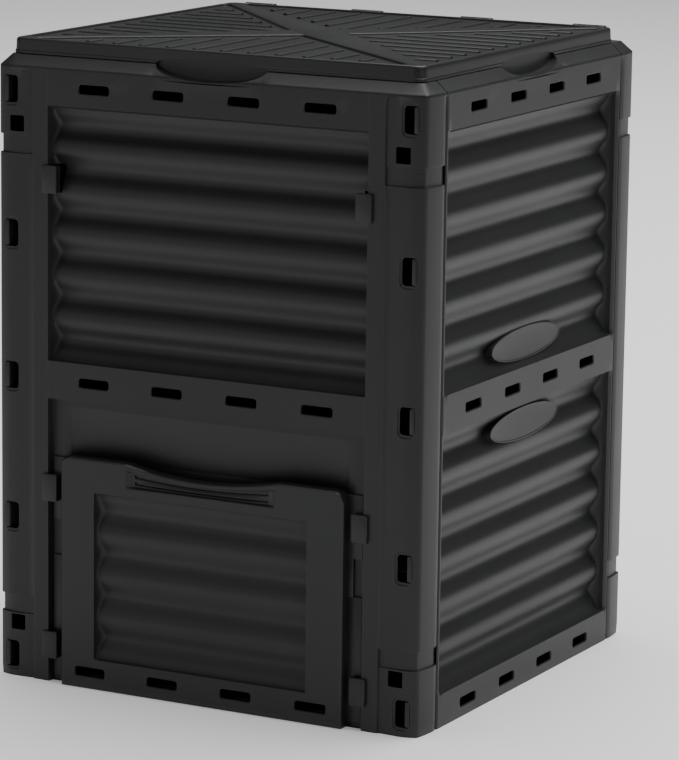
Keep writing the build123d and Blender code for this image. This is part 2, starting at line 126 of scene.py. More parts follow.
# %% Posts, tabs and hinge
post_step = half - 55.5
post_flat = half - 18.0
hook_x = half - 22.5
hook_zs = [28.5 + i * (shoulder_z - 57.0) / 4 for i in range(5)]
lock_x = half - 32.5
lock_zs = [hook_zs[0] + 42.5, hook_zs[-1] - 42.5]
band_zs = [hook_zs[0] + 66.0, hook_zs[-1] - 68.5]
band_half = 11.25
band_depth = 3.0
scoop_half, scoop_drop = 77.0, 17.0
tab_zs = (48.7, 252.0, 642.0)
tab_height = 35.0
hinge_low, hinge_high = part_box("hinge_pins")
hinge_y = (hinge_low.y + hinge_high.y) / 2 / MM
hinge_z = (hinge_low.z + hinge_high.z) / 2 / MM
hinge_xs = [(i - 1.5) * 163.0 for i in range(4)]
print("hinge at", round(hinge_y, 1), round(hinge_z, 1), "and hooks at", np.round(hook_zs, 1))

# %% [markdown]
# Node trees, for materials and for geometry, are easier to read when a few
# helpers write them.  One adds a node and fills its inputs with values or with
# the sockets that feed them, and one does a step of arithmetic.

# %% Node helpers
def add(tree, kind, inputs, **settings):
    """Adds a node; inputs pairs a socket's name or number with a value or a socket."""
    node = tree.nodes.new(kind)
    for name, value in settings.items():
        setattr(node, name, value)
    for key, value in inputs.items():
        if isinstance(value, bpy.types.NodeSocket):
            tree.links.new(value, node.inputs[key])
        else:
            node.inputs[key].default_value = value
    return node


def calc(tree, operation, a, b=0.0):
    """One arithmetic step."""
    return add(tree, "ShaderNodeMath", {0: a, 1: b}, operation=operation).outputs[0]


print("node helpers ready")

# %% [markdown]
# The plastic is one near-black, satin polypropylene with a very fine moulded
# grain.  A flat colour would look like a drawing, so the colour drifts a
# little from place to place, as regranulated plastic does, the roughness
# varies in soft clouds, and edges that hands and tools touch are rubbed paler.
# The grain is bump only: it is far too fine to be worth any mesh.

# %% Satin plastic
def cloud_colours(tree, fac, dark, light, low=0.0, high=1.0):
    """A colour ramp from dark to light between two levels of a noise."""
    tones = add(tree, "ShaderNodeValToRGB", {"Fac": fac})
    first, last = tones.color_ramp.elements
    first.position, last.position = low, high
    first.color, last.color = dark, light
    return tones.outputs["Color"]


def satin_plastic(name, shade, roughness):
    """Charcoal moulded plastic with clouds, fine grain and rubbed edges."""
    material = bpy.data.materials.new(name)
    material.use_nodes = True
    tree = material.node_tree
    surface = tree.nodes["Principled BSDF"]
    place = tree.nodes.new("ShaderNodeTexCoord").outputs["Object"]

    def noise(scale, detail, rough):
        inputs = {"Vector": place, "Scale": scale, "Detail": detail, "Roughness": rough}
        return add(tree, "ShaderNodeTexNoise", inputs).outputs["Fac"]

    clouds, flecks, fine = noise(7.0, 4.0, 0.6), noise(380.0, 2.0, 0.5), noise(1500.0, 3.0, 0.6)
    dark, light, worn = ([c * k for c in shade] + [1.0] for k in (0.86, 1.16, 2.2))
    base = cloud_colours(tree, clouds, dark, light, 0.3, 0.72)
    edge = tree.nodes.new("ShaderNodeNewGeometry").outputs["Pointiness"]
    rub = add(tree, "ShaderNodeMapRange",
              {"Value": edge, "From Min": 0.515, "From Max": 0.6, "To Max": 0.35}).outputs["Result"]
    rubbed = add(tree, "ShaderNodeMix", {"Factor": rub, "A": base, "B": worn}, data_type="RGBA")
    tree.links.new(rubbed.outputs["Result"], surface.inputs["Base Color"])
    uneven = add(tree, "ShaderNodeMapRange",
                 {"Value": clouds, "To Min": roughness - 0.05, "To Max": roughness + 0.07})
    tree.links.new(uneven.outputs["Result"], surface.inputs["Roughness"])
    surface.inputs["Specular IOR Level"].default_value = 0.35
    surface.inputs["IOR"].default_value = 1.49
    coarse = add(tree, "ShaderNodeBump", {"Strength": 0.05, "Distance": 0.0003, "Height": flecks})
    bump = add(tree, "ShaderNodeBump", {"Strength": 0.1, "Distance": 0.0002, "Height": fine,
                                        "Normal": coarse.outputs["Normal"]})
    tree.links.new(bump.outputs["Normal"], surface.inputs["Normal"])
    return material


charcoal = (0.014, 0.0145, 0.0155)
wall_finish = satin_plastic("charcoal wall plastic", charcoal, 0.43)
lid_finish = satin_plastic("charcoal lid plastic", charcoal, 0.36)
door_finish = satin_plastic("charcoal door plastic", charcoal, 0.4)
pin_finish = satin_plastic("black pin plastic", (0.02, 0.02, 0.022), 0.3)
print("finishes:", [m.name for m in (wall_finish, lid_finish, door_finish, pin_finish)])

# %% [markdown]
# A modifier tree has a geometry input, named inputs for its sizes, and a
# geometry output.  It ends by making its instances real and setting their
# material, because the export drops instances.  The sizes of each use are set
# by the sockets' identifiers, since a socket's name is only its label.

# %% Tree helpers
def new_tree(name, inputs):
    """A modifier tree with a geometry input, the named inputs and a geometry output."""
    tree = bpy.data.node_groups.new(name, "GeometryNodeTree")
    tree.is_modifier = True
    tree.interface.new_socket("Geometry", in_out="INPUT", socket_type="NodeSocketGeometry")
    for label, kind in inputs:
        tree.interface.new_socket(label, in_out="INPUT", socket_type="NodeSocket" + kind)
    tree.interface.new_socket("Geometry", in_out="OUTPUT", socket_type="NodeSocketGeometry")
    source = tree.nodes.new("NodeGroupInput")
    target = tree.nodes.new("NodeGroupOutput")
    return tree, source.outputs, target.inputs[0]


def finish_tree(tree, geometry, material, target):
    """Ends a tree as the export needs it: real mesh, with its material set."""
    real = add(tree, "GeometryNodeRealizeInstances", {0: geometry}).outputs[0]
    dressed = add(tree, "GeometryNodeSetMaterial", {"Geometry": real, "Material": material}).outputs[0]
    tree.links.new(dressed, target)


def put_tree(piece, tree, **values):
    """Puts a tree on an object, with its inputs set by their identifiers."""
    modifier = piece.modifiers.new(tree.name, "NODES")
    modifier.node_group = tree
    for item in tree.interface.items_tree:
        key = item.name.lower().replace(" ", "_")
        if item.in_out == "INPUT" and key in values:
            modifier[item.identifier] = values[key]


print("tree helpers ready")

# %% [markdown]
# Every piece is made as points in millimetres and faces between them, then
# baked to a plain mesh, because the export drops modifiers.  The finished
# parts of a moulding are joined into one object, shaded smooth except across
# sharp edges.

# %% Mesh helpers
def new_object(name, points, faces, material=None):
    """A mesh object from points in millimetres."""
    mesh = bpy.data.meshes.new(name)
    mesh.from_pydata([tuple(p) for p in np.asarray(points, float) * MM], [], faces)
    mesh.update()
    piece = bpy.data.objects.new(name, mesh)
    bpy.context.scene.collection.objects.link(piece)
    if material:
        mesh.materials.append(material)
    return piece


def bake(piece):
    """Replaces an object by a plain mesh of its evaluated shape."""
    graph = bpy.context.evaluated_depsgraph_get()
    mesh = bpy.data.meshes.new_from_object(piece.evaluated_get(graph), depsgraph=graph)
    piece.modifiers.clear()
    piece.data = mesh
    return piece


def join(name, pieces, material, sharp=32):
    """Joins finished pieces into one object, smooth except across sharp edges."""
    vertices, faces, start = [], [], 0
    for piece in pieces:
        mesh = piece.data
        place = np.array([v.co for v in mesh.vertices])
        vertices.append(place)
        faces += [tuple(start + i for i in face.vertices) for face in mesh.polygons]
        start += len(place)
        bpy.data.objects.remove(piece)
    whole = new_object(name, np.concatenate(vertices) / MM, faces, material)
    whole.data.shade_smooth()
    whole.data.set_sharp_from_angle(angle=radians(sharp))
    print(name, len(whole.data.vertices), "vertices,", len(whole.data.polygons), "faces")
    return whole


print("mesh helpers ready")

# %% [markdown]
# A corrugated panel follows a rule, so Geometry Nodes shape it.  The wall
# starts as a flat sheet whose points know how far along the wall they are, how
# high they are, and which way is inwards.  The tree pushes each point inwards
# by the depth of the recess plus a cosine wave, and eases the floor up to the
# frame at the sides, more slowly in the valleys than on the crests, which
# gives the scalloped ends that such a moulding has.

# %% Corrugation tree
def eased(tree, distance, run, power=2.6):
    """0 at an edge and 1 a run away from it, steep at first and then level."""
    share = calc(tree, "DIVIDE", distance, run)
    held = calc(tree, "MINIMUM", calc(tree, "MAXIMUM", share, 0.0), 1.0)
    return calc(tree, "SUBTRACT", 1.0, calc(tree, "POWER", calc(tree, "SUBTRACT", 1.0, held), power))


corrugate, given, result = new_tree("Corrugated recess", [
    ("Bottom", "Float"), ("Top", "Float"), ("Half Length", "Float"), ("Set Back", "Float"),
    ("Wave Depth", "Float"), ("Waves", "Float"), ("Side Run", "Float"), ("Valley Run", "Float")])
along = add(corrugate, "GeometryNodeInputNamedAttribute", {"Name": "along"}).outputs[0]
up = add(corrugate, "GeometryNodeInputNamedAttribute", {"Name": "up"}).outputs[0]
inward = add(corrugate, "GeometryNodeInputNamedAttribute", {"Name": "inward"},
             data_type="FLOAT_VECTOR").outputs[0]
climb = calc(corrugate, "SUBTRACT", up, given["Bottom"])
span = calc(corrugate, "SUBTRACT", given["Top"], given["Bottom"])
turns = calc(corrugate, "MULTIPLY", calc(corrugate, "DIVIDE", climb, span), given["Waves"])
wave = calc(corrugate, "COSINE", calc(corrugate, "MULTIPLY", turns, 2 * pi))
valley = calc(corrugate, "MULTIPLY", calc(corrugate, "SUBTRACT", 1.0, wave), 0.5)
valley = calc(corrugate, "POWER", valley, 1.25)
dip = calc(corrugate, "MULTIPLY", valley, given["Wave Depth"])
extra_run = calc(corrugate, "MULTIPLY", valley, given["Valley Run"])
inside = calc(corrugate, "SUBTRACT", given["Half Length"], calc(corrugate, "ABSOLUTE", along))
side = eased(corrugate, inside, calc(corrugate, "ADD", given["Side Run"], extra_run))
to_edge = calc(corrugate, "MINIMUM", climb, calc(corrugate, "SUBTRACT", given["Top"], up))
ends = eased(corrugate, to_edge, given["Side Run"])
push = calc(corrugate, "MULTIPLY", calc(corrugate, "ADD", given["Set Back"], dip), side)
push = calc(corrugate, "MULTIPLY", calc(corrugate, "MULTIPLY", push, ends), MM)
offset = add(corrugate, "ShaderNodeVectorMath", {0: inward, "Scale": push}, operation="SCALE").outputs[0]
moved = add(corrugate, "GeometryNodeSetPosition", {"Geometry": given["Geometry"], "Offset": offset})
finish_tree(corrugate, moved.outputs[0], wall_finish, result)
print("corrugation tree has", len(corrugate.nodes), "nodes")

# %% [markdown]
# Air slots, hook pockets and locking holes are perforations: one cutter shape
# repeated at many places.  The second tree puts a cutter on every point of a
# small places mesh, turns it to face the wall, and subtracts them all at once.
# Each cutter flares at its mouth, so every hole gets the small bevel that
# catches the light, instead of a paper-thin edge.

# %% Openings tree
pierce, given, result = new_tree("Openings", [
    ("Places", "Object"), ("Cutter", "Object"), ("Turn", "Float"), ("Material", "Material")])
places = add(pierce, "GeometryNodeObjectInfo", {"Object": given["Places"]})
tool = add(pierce, "GeometryNodeObjectInfo", {"Object": given["Cutter"]})
turn = add(pierce, "ShaderNodeCombineXYZ", {"Z": given["Turn"]})
copies = add(pierce, "GeometryNodeInstanceOnPoints", {
    "Points": places.outputs["Geometry"], "Instance": tool.outputs["Geometry"],
    "Rotation": turn.outputs[0]})
solid = add(pierce, "GeometryNodeRealizeInstances", {0: copies.outputs[0]})
cut = add(pierce, "GeometryNodeMeshBoolean", {"Mesh 1": given["Geometry"], "Mesh 2": solid.outputs[0]},
          operation="DIFFERENCE", solver="MANIFOLD")
finish_tree(pierce, cut.outputs[0], given["Material"], result)
print("openings tree has", len(pierce.nodes), "nodes")

# %% [markdown]
# Most solid shapes here are lofts: skins drawn through a row of outlines that
# all have the same number of points, and closed at both ends.  Turning the
# faces outwards afterwards saves thinking about the order of the points.

# %% Lofts
def rounded_outline(half_x, half_y, radius, steps=5):
    """Points round a rounded rectangle, anticlockwise."""
    outline = []
    for sx, sy, first in ((1, 1, 0), (-1, 1, 1), (-1, -1, 2), (1, -1, 3)):
        for i in range(steps + 1):
            angle = (first + i / steps) * pi / 2
            outline.append((sx * (half_x - radius) + radius * cos(angle),
                            sy * (half_y - radius) + radius * sin(angle)))
    return outline


def faces_out(piece):
    """Turns a closed piece's faces outwards."""
    shape = bmesh.new()
    shape.from_mesh(piece.data)
    bmesh.ops.recalc_face_normals(shape, faces=shape.faces)
    shape.to_mesh(piece.data)
    shape.free()
    return piece


def loft(name, rings):
    """A closed solid through rings that all have the same number of points."""
    count = len(rings[0])
    last = (len(rings) - 1) * count
    faces = []
    for k in range(0, last, count):
        for i in range(count):
            j = (i + 1) % count
            faces.append((k + i, k + j, k + count + j, k + count + i))
    faces += [tuple(reversed(range(count))), tuple(range(last, last + count))]
    return faces_out(new_object(name, [p for ring in rings for p in ring], faces))


print("an outline has", len(rounded_outline(10, 10, 2)), "points")

# %% [markdown]
# The cutters are short lofts of rounded rectangles.  Depth 0 is the wall's
# face, and depths grow into the wall.  Most cutters are wide at the face and
# narrow a millimetre in, and the hook cutter steps once more, from the shallow
# pocket to the hole through its floor.

# %% Cutters
def hole_cutter(name, sections):
    """A cutter along Y from (depth, half width, half height, radius) sections, front first."""
    cutter = loft(name, [[(x, depth, z) for x, z in rounded_outline(wide, tall, radius)]
                         for depth, wide, tall, radius in sections])
    cutter.hide_render = True
    return cutter


slot_mouth = [(-3, 24.6, 8.9, 5), (0, 22.5, 6.9, 4), (1.1, 21.5, 5.75, 3.6)]
slot_cutter = hole_cutter("slot cutter", slot_mouth + [(9, 21.5, 5.75, 3.6)])
door_slot_cutter = hole_cutter("door slot cutter", slot_mouth + [(7, 21.5, 5.75, 3.6)])
hook_cutter = hole_cutter("hook cutter", [
    (-3, 15.5, 24, 9), (0, 13.4, 21.9, 8), (0.8, 12.6, 21.1, 7.4), (1.9, 12.2, 20.7, 7.2),
    (2.5, 11.4, 19.9, 6.6), (2.5001, 10.6, 17.4, 5.2), (3.2, 10.0, 16.8, 4.8), (12, 10.0, 16.6, 4.8)])
lock_cutter = hole_cutter("lock cutter", [
    (-3, 11.6, 11.6, 2.6), (0, 10.7, 10.7, 2.4), (0.8, 10, 10, 2), (12, 10, 10, 2)])
hatch_cutter = hole_cutter("hatch cutter", [(-30, 185, 131, 8), (60, 185, 131, 8)])
core_cutter = hole_cutter("core cutter", [(-30, 7.2, 17.5, 1.2), (60, 7.2, 17.5, 1.2)])
print("cutters ready")

# %% [markdown]
# A wall is a grid of points.  Its lines crowd together beside every edge of
# the moulding, so the edges come out crisp with a small round on them, and
# spread out where the plastic is flat.  That spends triangles where the light
# shows them.

# %% Grid lines
def grid_lines(low, high, edges, spans):
    """Sorted places: five lines at each edge, and at most the span's step between them."""
    marks = {low, high}
    for edge in edges:
        beside = [edge + k for k in (-1.4, -0.5, 0, 0.5, 1.4)]
        marks |= {round(v, 4) for v in beside if low < v < high}
    for start, end, _ in spans:
        marks |= {v for v in (start, end) if low < v < high}
    marks = sorted(marks)
    places = [marks[0]]
    for a, b in zip(marks, marks[1:]):
        middle = (a + b) / 2
        step = min([s for start, end, s in spans if start <= middle <= end], default=30.0)
        n = max(1, ceil((b - a) / step - 1e-6))
        places += [a + (b - a) * (i + 1) / n for i in range(n)]
    return np.array(places)


print("lines at an edge:", grid_lines(-5.0, 5.0, [0.0], []))

# %% [markdown]
# Three small tools serve every grid.  A ramp is a smooth step from 0 to 1, and
# most details of the walls are ramps multiplied together.  A turn carries a
# wall from the front to its own side.  The faces join each point to its
# neighbours in the next column and the next row.

# %% Ramps, turns and faces
def ramp(value, low, high):
    """0 below low, 1 above high, and smooth between them."""
    t = np.clip((value - low) / (high - low), 0, 1)
    return t * t * (3 - 2 * t)


def turned(points, angle):
    """Points turned about Z, from the front wall's place to another wall's."""
    c, s = cos(angle), sin(angle)
    x, y = points[..., 0].copy(), points[..., 1].copy()
    points = np.array(points, float)
    points[..., 0] = c * x - s * y
    points[..., 1] = s * x + c * y
    return points


def grid_faces(rows, columns):
    """Four-cornered faces of a grid whose points run row by row."""
    index = np.arange(rows * columns).reshape(rows, columns)
    corners = [index[:-1, :-1], index[:-1, 1:], index[1:, 1:], index[1:, :-1]]
    return np.stack(corners, -1).reshape(-1, 4).tolist()


print("a ramp's steps:", ramp(np.linspace(0, 1, 5), 0.0, 1.0))

# %% [markdown]
# Seen from above, a corner post is not a plain quarter circle.  The front
# leans back gently, turns quickly round a tight nose, and runs on almost
# straight to the seam.  Walking along it and turning a little at every step
# draws exactly that, and the walk's end tells where it has to start.

# %% Plan of the posts
def post_walk():
    """Offsets along a post, from the flat front to the seam, with the heading at each."""
    legs = ((26.0, 0.0, 24.0, 9), (6.0, 24.0, 80.0, 9), (39.0, 80.0, 90.0, 8))
    paces = 12
    xs, ys, headings = [0.0], [0.0], [0.0]
    for length, start, end, steps in legs:
        pace = length / steps / paces
        for i in range(steps * paces):
            angle = radians(start + (end - start) * (i + 0.5) / (steps * paces))
            xs.append(xs[-1] + pace * cos(angle))
            ys.append(ys[-1] + pace * sin(angle))
            headings.append(angle)
    return [np.array(values)[::paces] for values in (xs, ys, headings)]


print("a post's walk has", len(post_walk()[0]), "stops")

# %% [markdown]
# A front or back wall's plan is a flat with a post on either side.  Each place
# on a plan carries the direction that faces out of the wall, because depths
# are measured along it.  Higher up, the plan shrinks: every place moves to the
# nearest one on a smaller rounded rectangle.

# %% Plans of the walls
def corner_plan(flat_lines):
    """Plan points and outward normals of a front or back wall, left seam to right seam."""
    dx, dy, heading = post_walk()
    scale = (return_width - 0.6) / dy[-1]
    start = half - dx[-1] * scale
    post = np.stack([start + dx * scale, -half + dy * scale], -1)
    post_out = np.stack([np.sin(heading), -np.cos(heading)], -1)
    flat = flat_lines[(flat_lines > -start + 0.5) & (flat_lines < start - 0.5)]
    front = np.stack([flat, np.full(len(flat), -half)], -1)
    front_out = np.tile([0.0, -1.0], (len(flat), 1))
    mirror = np.array([-1.0, 1.0])
    plan = np.concatenate([post[::-1] * mirror, front, post])
    out = np.concatenate([post_out[::-1] * mirror, front_out, post_out])
    return plan, out


def side_plan(flat_lines):
    """Plan points and normals of a side wall, still standing in the front wall's place."""
    plan = np.stack([flat_lines, np.full(len(flat_lines), -half)], -1)
    return plan, np.tile([0.0, -1.0], (len(flat_lines), 1))


def inset_plan(plan, inset, front_inset, radius):
    """The nearest points to the plan on a rounded rectangle set in from the walls."""
    side, front = half - inset - radius, half - front_inset - radius
    core = np.clip(plan, (-side, -front), (side, half))
    away = plan - core
    away /= np.maximum(np.linalg.norm(away, axis=1, keepdims=True), 1e-6)
    return core + radius * away


print("a plain wall's plan has", len(corner_plan(np.array([-100.0, 0.0, 100.0]))[0]), "places")

# %% [markdown]
# Above the face the wall leans in over a shoulder, runs level as the ledge
# under the lid, and stands up again as the neck that the lid fits over.  At a
# finger scoop the shoulder is scooped out along half an ellipse.  One profile
# of insets and heights draws all of it, and at the scoop its lower part is
# squeezed down to the scoop's lip.

# %% Shoulder and scoop
profile = [(0, -2.2), (0, -1.0), (0.25, 0.15), (0.9, 1.2), (2.2, 2.3), (5.5, 5.2), (9.5, 8.9),
           (13.0, 12.1), (14.3, 13.3), (15.0, 13.85), (15.9, 14.0), (17.2, 14.0), (18.6, 14.0),
           (19.3, 14.3), (19.6, 15.2), (19.6, 20.0), (19.6, 14.0 + neck_rise)]
lip_row = 9


def shoulder_rows(plan, has_scoop, neck_front):
    """The rows above the face: shoulder, ledge and neck, with the finger scoop."""
    ledge = inset_plan(plan, shoulder_run, shoulder_run, 7.0)
    neck = inset_plan(plan, neck_inset, neck_front, 6.0)
    slope = shoulder_run / (ledge_z - shoulder_z)
    on_front = np.abs(plan[:, 1] + half) < 1.0
    bowl = np.clip(1 - (plan[:, 0] / scoop_half) ** 2, 0, 1) * on_front * has_scoop
    lip = ledge_z - scoop_drop * np.sqrt(bowl)
    lip_inset = np.clip((lip - shoulder_z) * slope, 0, shoulder_run)
    base = shoulder_z - 6.0
    rows = []
    for row, (inset, rise) in enumerate(profile):
        z = shoulder_z + rise
        if row <= lip_row:
            full = shoulder_z + profile[lip_row][1] - base
            high = np.where(bowl > 0, base + (z - base) * (lip - base) / full, z)
            into = np.where(bowl > 0, np.clip((high - shoulder_z) * slope, 0, shoulder_run), inset)
        else:
            share = (inset - shoulder_run) / (neck_inset - shoulder_run)
            climb = (z - ledge_z) / neck_rise
            dish = 1.6 * sin(pi * min(share, 1.0)) * np.sqrt(bowl)
            high = np.where(bowl > 0, lip - dish + climb * (ledge_z + neck_rise - lip), z)
            into = np.where(bowl > 0, lip_inset + share * (neck_inset - lip_inset), inset)
        part = np.clip(into / shoulder_run, 0, 1)[:, None]
        rest = np.clip((into - shoulder_run) / (neck_inset - shoulder_run), 0, 1)[:, None]
        rows.append(np.column_stack([plan + (ledge - plan) * part + (neck - ledge) * rest, high]))
    return rows


print("wall profile has", len(profile), "rows above the face")

# %% [markdown]
# A wall's sheet is its face, pushed in by a rule of depths, and the rows above
# it.  Every point keeps what the corrugation tree needs to know, as attributes
# of the mesh: how far along, how high, and which way is inwards.

# %% Wall sheet
def give_fields(piece, along, up, inward):
    """Stores the attributes that the corrugation tree reads."""
    for field, values in (("along", along), ("up", up)):
        stored = piece.data.attributes.new(field, "FLOAT", "POINT")
        stored.data.foreach_set("value", np.asarray(values, np.float32))
    stored = piece.data.attributes.new("inward", "FLOAT_VECTOR", "POINT")
    stored.data.foreach_set("vector", np.asarray(inward, np.float32).ravel())


def wall_sheet(name, plan, out, levels, rule, angle, has_scoop, neck_front):
    """The outer skin of a wall as a grid, turned to its side of the bin."""
    levels = levels[levels < shoulder_z - 2.5]
    u, z = np.meshgrid(plan[:, 0], levels)
    depth = rule(u, z, np.tile(plan[:, 1], (len(levels), 1)))
    rows = [np.column_stack([plan - out * depth[k][:, None], np.full(len(plan), level)])
            for k, level in enumerate(levels)]
    grid = np.stack(rows + shoulder_rows(plan, has_scoop, neck_front))
    n_rows, n_columns = grid.shape[:2]
    points = turned(grid.reshape(-1, 3), angle)
    sheet = new_object(name, points, grid_faces(n_rows, n_columns), wall_finish)
    inward = turned(np.column_stack([-np.tile(out, (n_rows, 1)), np.zeros(len(points))]), angle)
    give_fields(sheet, np.tile(plan[:, 0], n_rows), grid[..., 2].ravel(), inward)
    print(name, n_rows, "x", n_columns)
    return sheet


print("ready to make sheets")

# %% [markdown]
# What is not a wave is a simple rule of place: the post face steps back from
# the stile and eases out again towards the corner, sharply near the ends and
# softly in between, two strap grooves run round each post, and every outer
# edge is eased.  The front wall also has the flat lower recess that the hatch
# door lies in, with the finger ramp above the hatch.

# %% Depth rules
ramp_foot, ramp_top = 290.0, 356.0
shelf_foot, shelf_top = 266.0, 272.0
foot_ease = 0.8


def post_depth(u, z, y):
    """Depth of the post faces, strap grooves and eased seam edges."""
    away = np.abs(u)
    face = 2.5 * np.clip((post_flat - away) / (post_flat - post_step), 0, 1)
    crisp = ramp(away, post_step - 0.7, post_step + 0.7)
    gentle = ramp(away, post_step - 4.0, post_step + 8.0)
    end_zone = ramp(z, band_zs[1] - 30, band_zs[1]) + ramp(-z, -band_zs[0] - 30, -band_zs[0])
    depth = face * (gentle + (crisp - gentle) * np.clip(end_zone, 0, 1)) * (y < -half + 1.0)
    for middle in band_zs:
        groove = ramp(band_half - np.abs(z - middle), -0.6, 0.6)
        groove = groove * ramp(away, post_step - 0.6, post_step + 0.6)
        depth = np.maximum(depth, groove * (band_depth + depth * 0.3))
    lead_in = 1.6 * np.clip((y + half - return_width + 3.0) / 2.5, 0, 1) ** 2
    return depth + lead_in + foot_ease * np.clip(1 - z / 1.2, 0, 1) ** 2


def front_depth(u, z, y):
    """The front wall's rule: posts, lower recess and finger ramp."""
    depth = post_depth(u, z, y)
    away = np.abs(u)
    into = 1 - (1 - np.clip((front_recess - away) / 3.5, 0, 1)) ** 2.4
    top = np.clip((mid_rail[0] - z) / 0.5, 0, 1)
    depth = np.maximum(depth, recess_depth * into * top)
    slope = np.clip((ramp_top - z) / (ramp_top - ramp_foot), 0, 1)
    inside = ramp(204.0 - away, 0.0, 22.0)
    shelf = np.clip((z - shelf_foot) / (shelf_top - shelf_foot), 0, 1)
    return depth + 12.0 * slope * inside * shelf


def side_depth(u, z, y):
    """A side wall's rule: a rounded bead down each long edge."""
    from_edge = side_half - 0.8 - np.abs(u)
    edge = np.clip(1 - from_edge / 3.4, 0, 1)
    beside = sum(ramp(z, low - 2, low + 4) * ramp(-z, -high - 2, -high + 4)
                 for low, high in (lower_panel, upper_panel))
    across = np.clip(from_edge / 9.2, 0, 1)
    roll = 3.0 * across ** 1.6 * ramp(np.abs(u), side_recess - 6.0, side_recess)
    return roll * beside + 1.9 * edge ** 2 + foot_ease * np.clip(1 - z / 1.2, 0, 1) ** 2


print("strap grooves at", np.round(band_zs, 1))

# %% [markdown]
# The rules say where a wall needs its lines.  The waves get twelve rows each,
# the ends of the waves and the posts get close columns, and the scoop gets
# columns that crowd towards its ends, where the ellipse is steep.

# %% Rows and columns
def wall_levels(low_panel):
    """Heights of the grid's rows."""
    wave_step = (top_recess - mid_rail[1]) / wave_count / 12
    edges = [mid_rail[0], mid_rail[1], top_recess]
    edges += [z + s * band_half for z in band_zs for s in (-1, 1)]
    spans = [(mid_rail[1], top_recess, wave_step), (0.0, shoulder_z, 15.0)]
    if low_panel:
        edges.append(bottom_rail)
        spans.append((bottom_rail, mid_rail[0], wave_step))
    else:
        edges += [shelf_top, ramp_foot, ramp_top]
    return grid_lines(0.0, shoulder_z - 4.0, edges, spans)


def both_sides(low, high, step):
    """A span of close lines on the right, and its mirror image on the left."""
    return [(-high, -low, step), (low, high, step)]


def wall_lines(recess, kind):
    """Places of the grid's columns along a front, back or side wall."""
    limit = side_half - 0.8 if kind == "side" else half
    edges = [-recess, recess]
    spans = [(-half, half, 26.0)] + both_sides(recess - 16, recess, 1.7)
    if kind == "side":
        spans += both_sides(limit - 10.0, limit, 1.0)
    else:
        edges += [-post_step, post_step]
        spans += both_sides(post_step - 5, post_step + 9, 2.4) + both_sides(post_step, half, 6.0)
    if kind == "front":
        edges += [-196.0, 196.0]
    flat = grid_lines(-limit, limit, edges, spans)
    flat = flat[np.abs(flat) > scoop_half + 1.0]
    return np.sort(np.concatenate([flat, [scoop_half * cos(pi * i / 24) for i in range(25)]]))


front_levels, full_levels = wall_levels(False), wall_levels(True)
print("rows:", len(front_levels), "on the front,", len(full_levels), "on the others")

# %% [markdown]
# Tabs, tongues, plates and hinge ears are small solid blocks with soft edges.
# A block with a real bevel is made once as a loft of rounded outlines, so
# there is no hard cube anywhere on the bin.

# %% Soft blocks
def soft_block(name, low, high, bevel=0.8, axis=1, radius=1.5):
    """A block between two corners, rounded in outline and eased at both ends of one axis."""
    low, high = np.array(low, float), np.array(high, float)
    order = [i for i in range(3) if i != axis]
    middle = (low + high) / 2
    reach = (high - low) / 2
    small = bevel * 0.3
    rings = []
    for place, inset in ((low[axis], bevel), (low[axis] + small, small), (low[axis] + bevel, 0),
                         (high[axis] - bevel, 0), (high[axis] - small, small), (high[axis], bevel)):
        wide, tall = reach[order] - inset
        ring = []
        for a, b in rounded_outline(wide, tall, max(radius - inset, 0.3), 3):
            point = [0.0, 0.0, 0.0]
            point[axis] = place
            point[order[0]] = middle[order[0]] + a
            point[order[1]] = middle[order[1]] + b
            ring.append(point)
        rings.append(ring)
    return loft(name, rings)


print("soft blocks ready")

# %% [markdown]
# The openings tree wants its places as a mesh of loose points, standing on the
# wall that they pierce.  Every rail has a row of four slots.

# %% Places
def places_mesh(name, spots, angle):
    """A mesh of loose points for the openings tree, standing on one wall."""
    piece = new_object(name, turned(np.array(spots, float), angle), [])
    piece.hide_render = True
    return piece


def slot_row(z, pitch=slot_pitch, y=-half):
    """Four evenly spaced places along a rail."""
    return [((i - 1.5) * pitch, y, z) for i in range(4)]


print("a rail's slots are at", [round(x, 1) for x, y, z in slot_row(top_slot_z)])

# %% [markdown]
# Now a wall comes together: the sheet gets its corrugations, Solidify gives it
# the thickness of the moulding on the inside, and the openings are cut last so
# that they go right through.  Where a row of points is folded sharply,
# Solidify can push a point a little outwards, so the baked points are held
# within the bin's outer faces.

# %% Wall maker
def thicken(piece, thickness):
    """Gives a skin its thickness in millimetres, on the inside."""
    thick = piece.modifiers.new("thickness", "SOLIDIFY")
    thick.thickness = thickness * MM
    thick.offset = -1.0


def make_wall(name, angle, plan, out, rule, panels, cuts, has_scoop, levels, neck_front=neck_inset):
    """A finished wall skin: corrugated, thickened and pierced."""
    sheet = wall_sheet(name, plan, out, levels, rule, angle, has_scoop, neck_front)
    for bottom, top, reach in panels:
        put_tree(sheet, corrugate, bottom=bottom, top=top, half_length=reach, set_back=recess_depth,
                 wave_depth=wave_depth, waves=float(wave_count), side_run=3.5, valley_run=7.0)
    thicken(sheet, wall)
    for cutter, spots in cuts:
        places = places_mesh(name + " places", spots, angle)
        put_tree(sheet, pierce, places=places, cutter=cutter, turn=angle, material=wall_finish)
    bake(sheet)
    place = np.array([v.co for v in sheet.data.vertices])
    place[:, :2] = np.clip(place[:, :2], -half * MM, half * MM)
    sheet.data.vertices.foreach_set("co", place.ravel())
    print(name, len(sheet.data.polygons), "faces after cutting")
    return sheet


post_hooks = [(s * hook_x, -half, z) for s in (-1, 1) for z in hook_zs]
post_locks = [(s * lock_x, -half, z) for s in (-1, 1) for z in lock_zs]
rail_rows = slot_row(top_slot_z) + slot_row(mid_slot_z)
print(len(post_hooks), "hook pockets and", len(post_locks), "locking holes on a post wall")

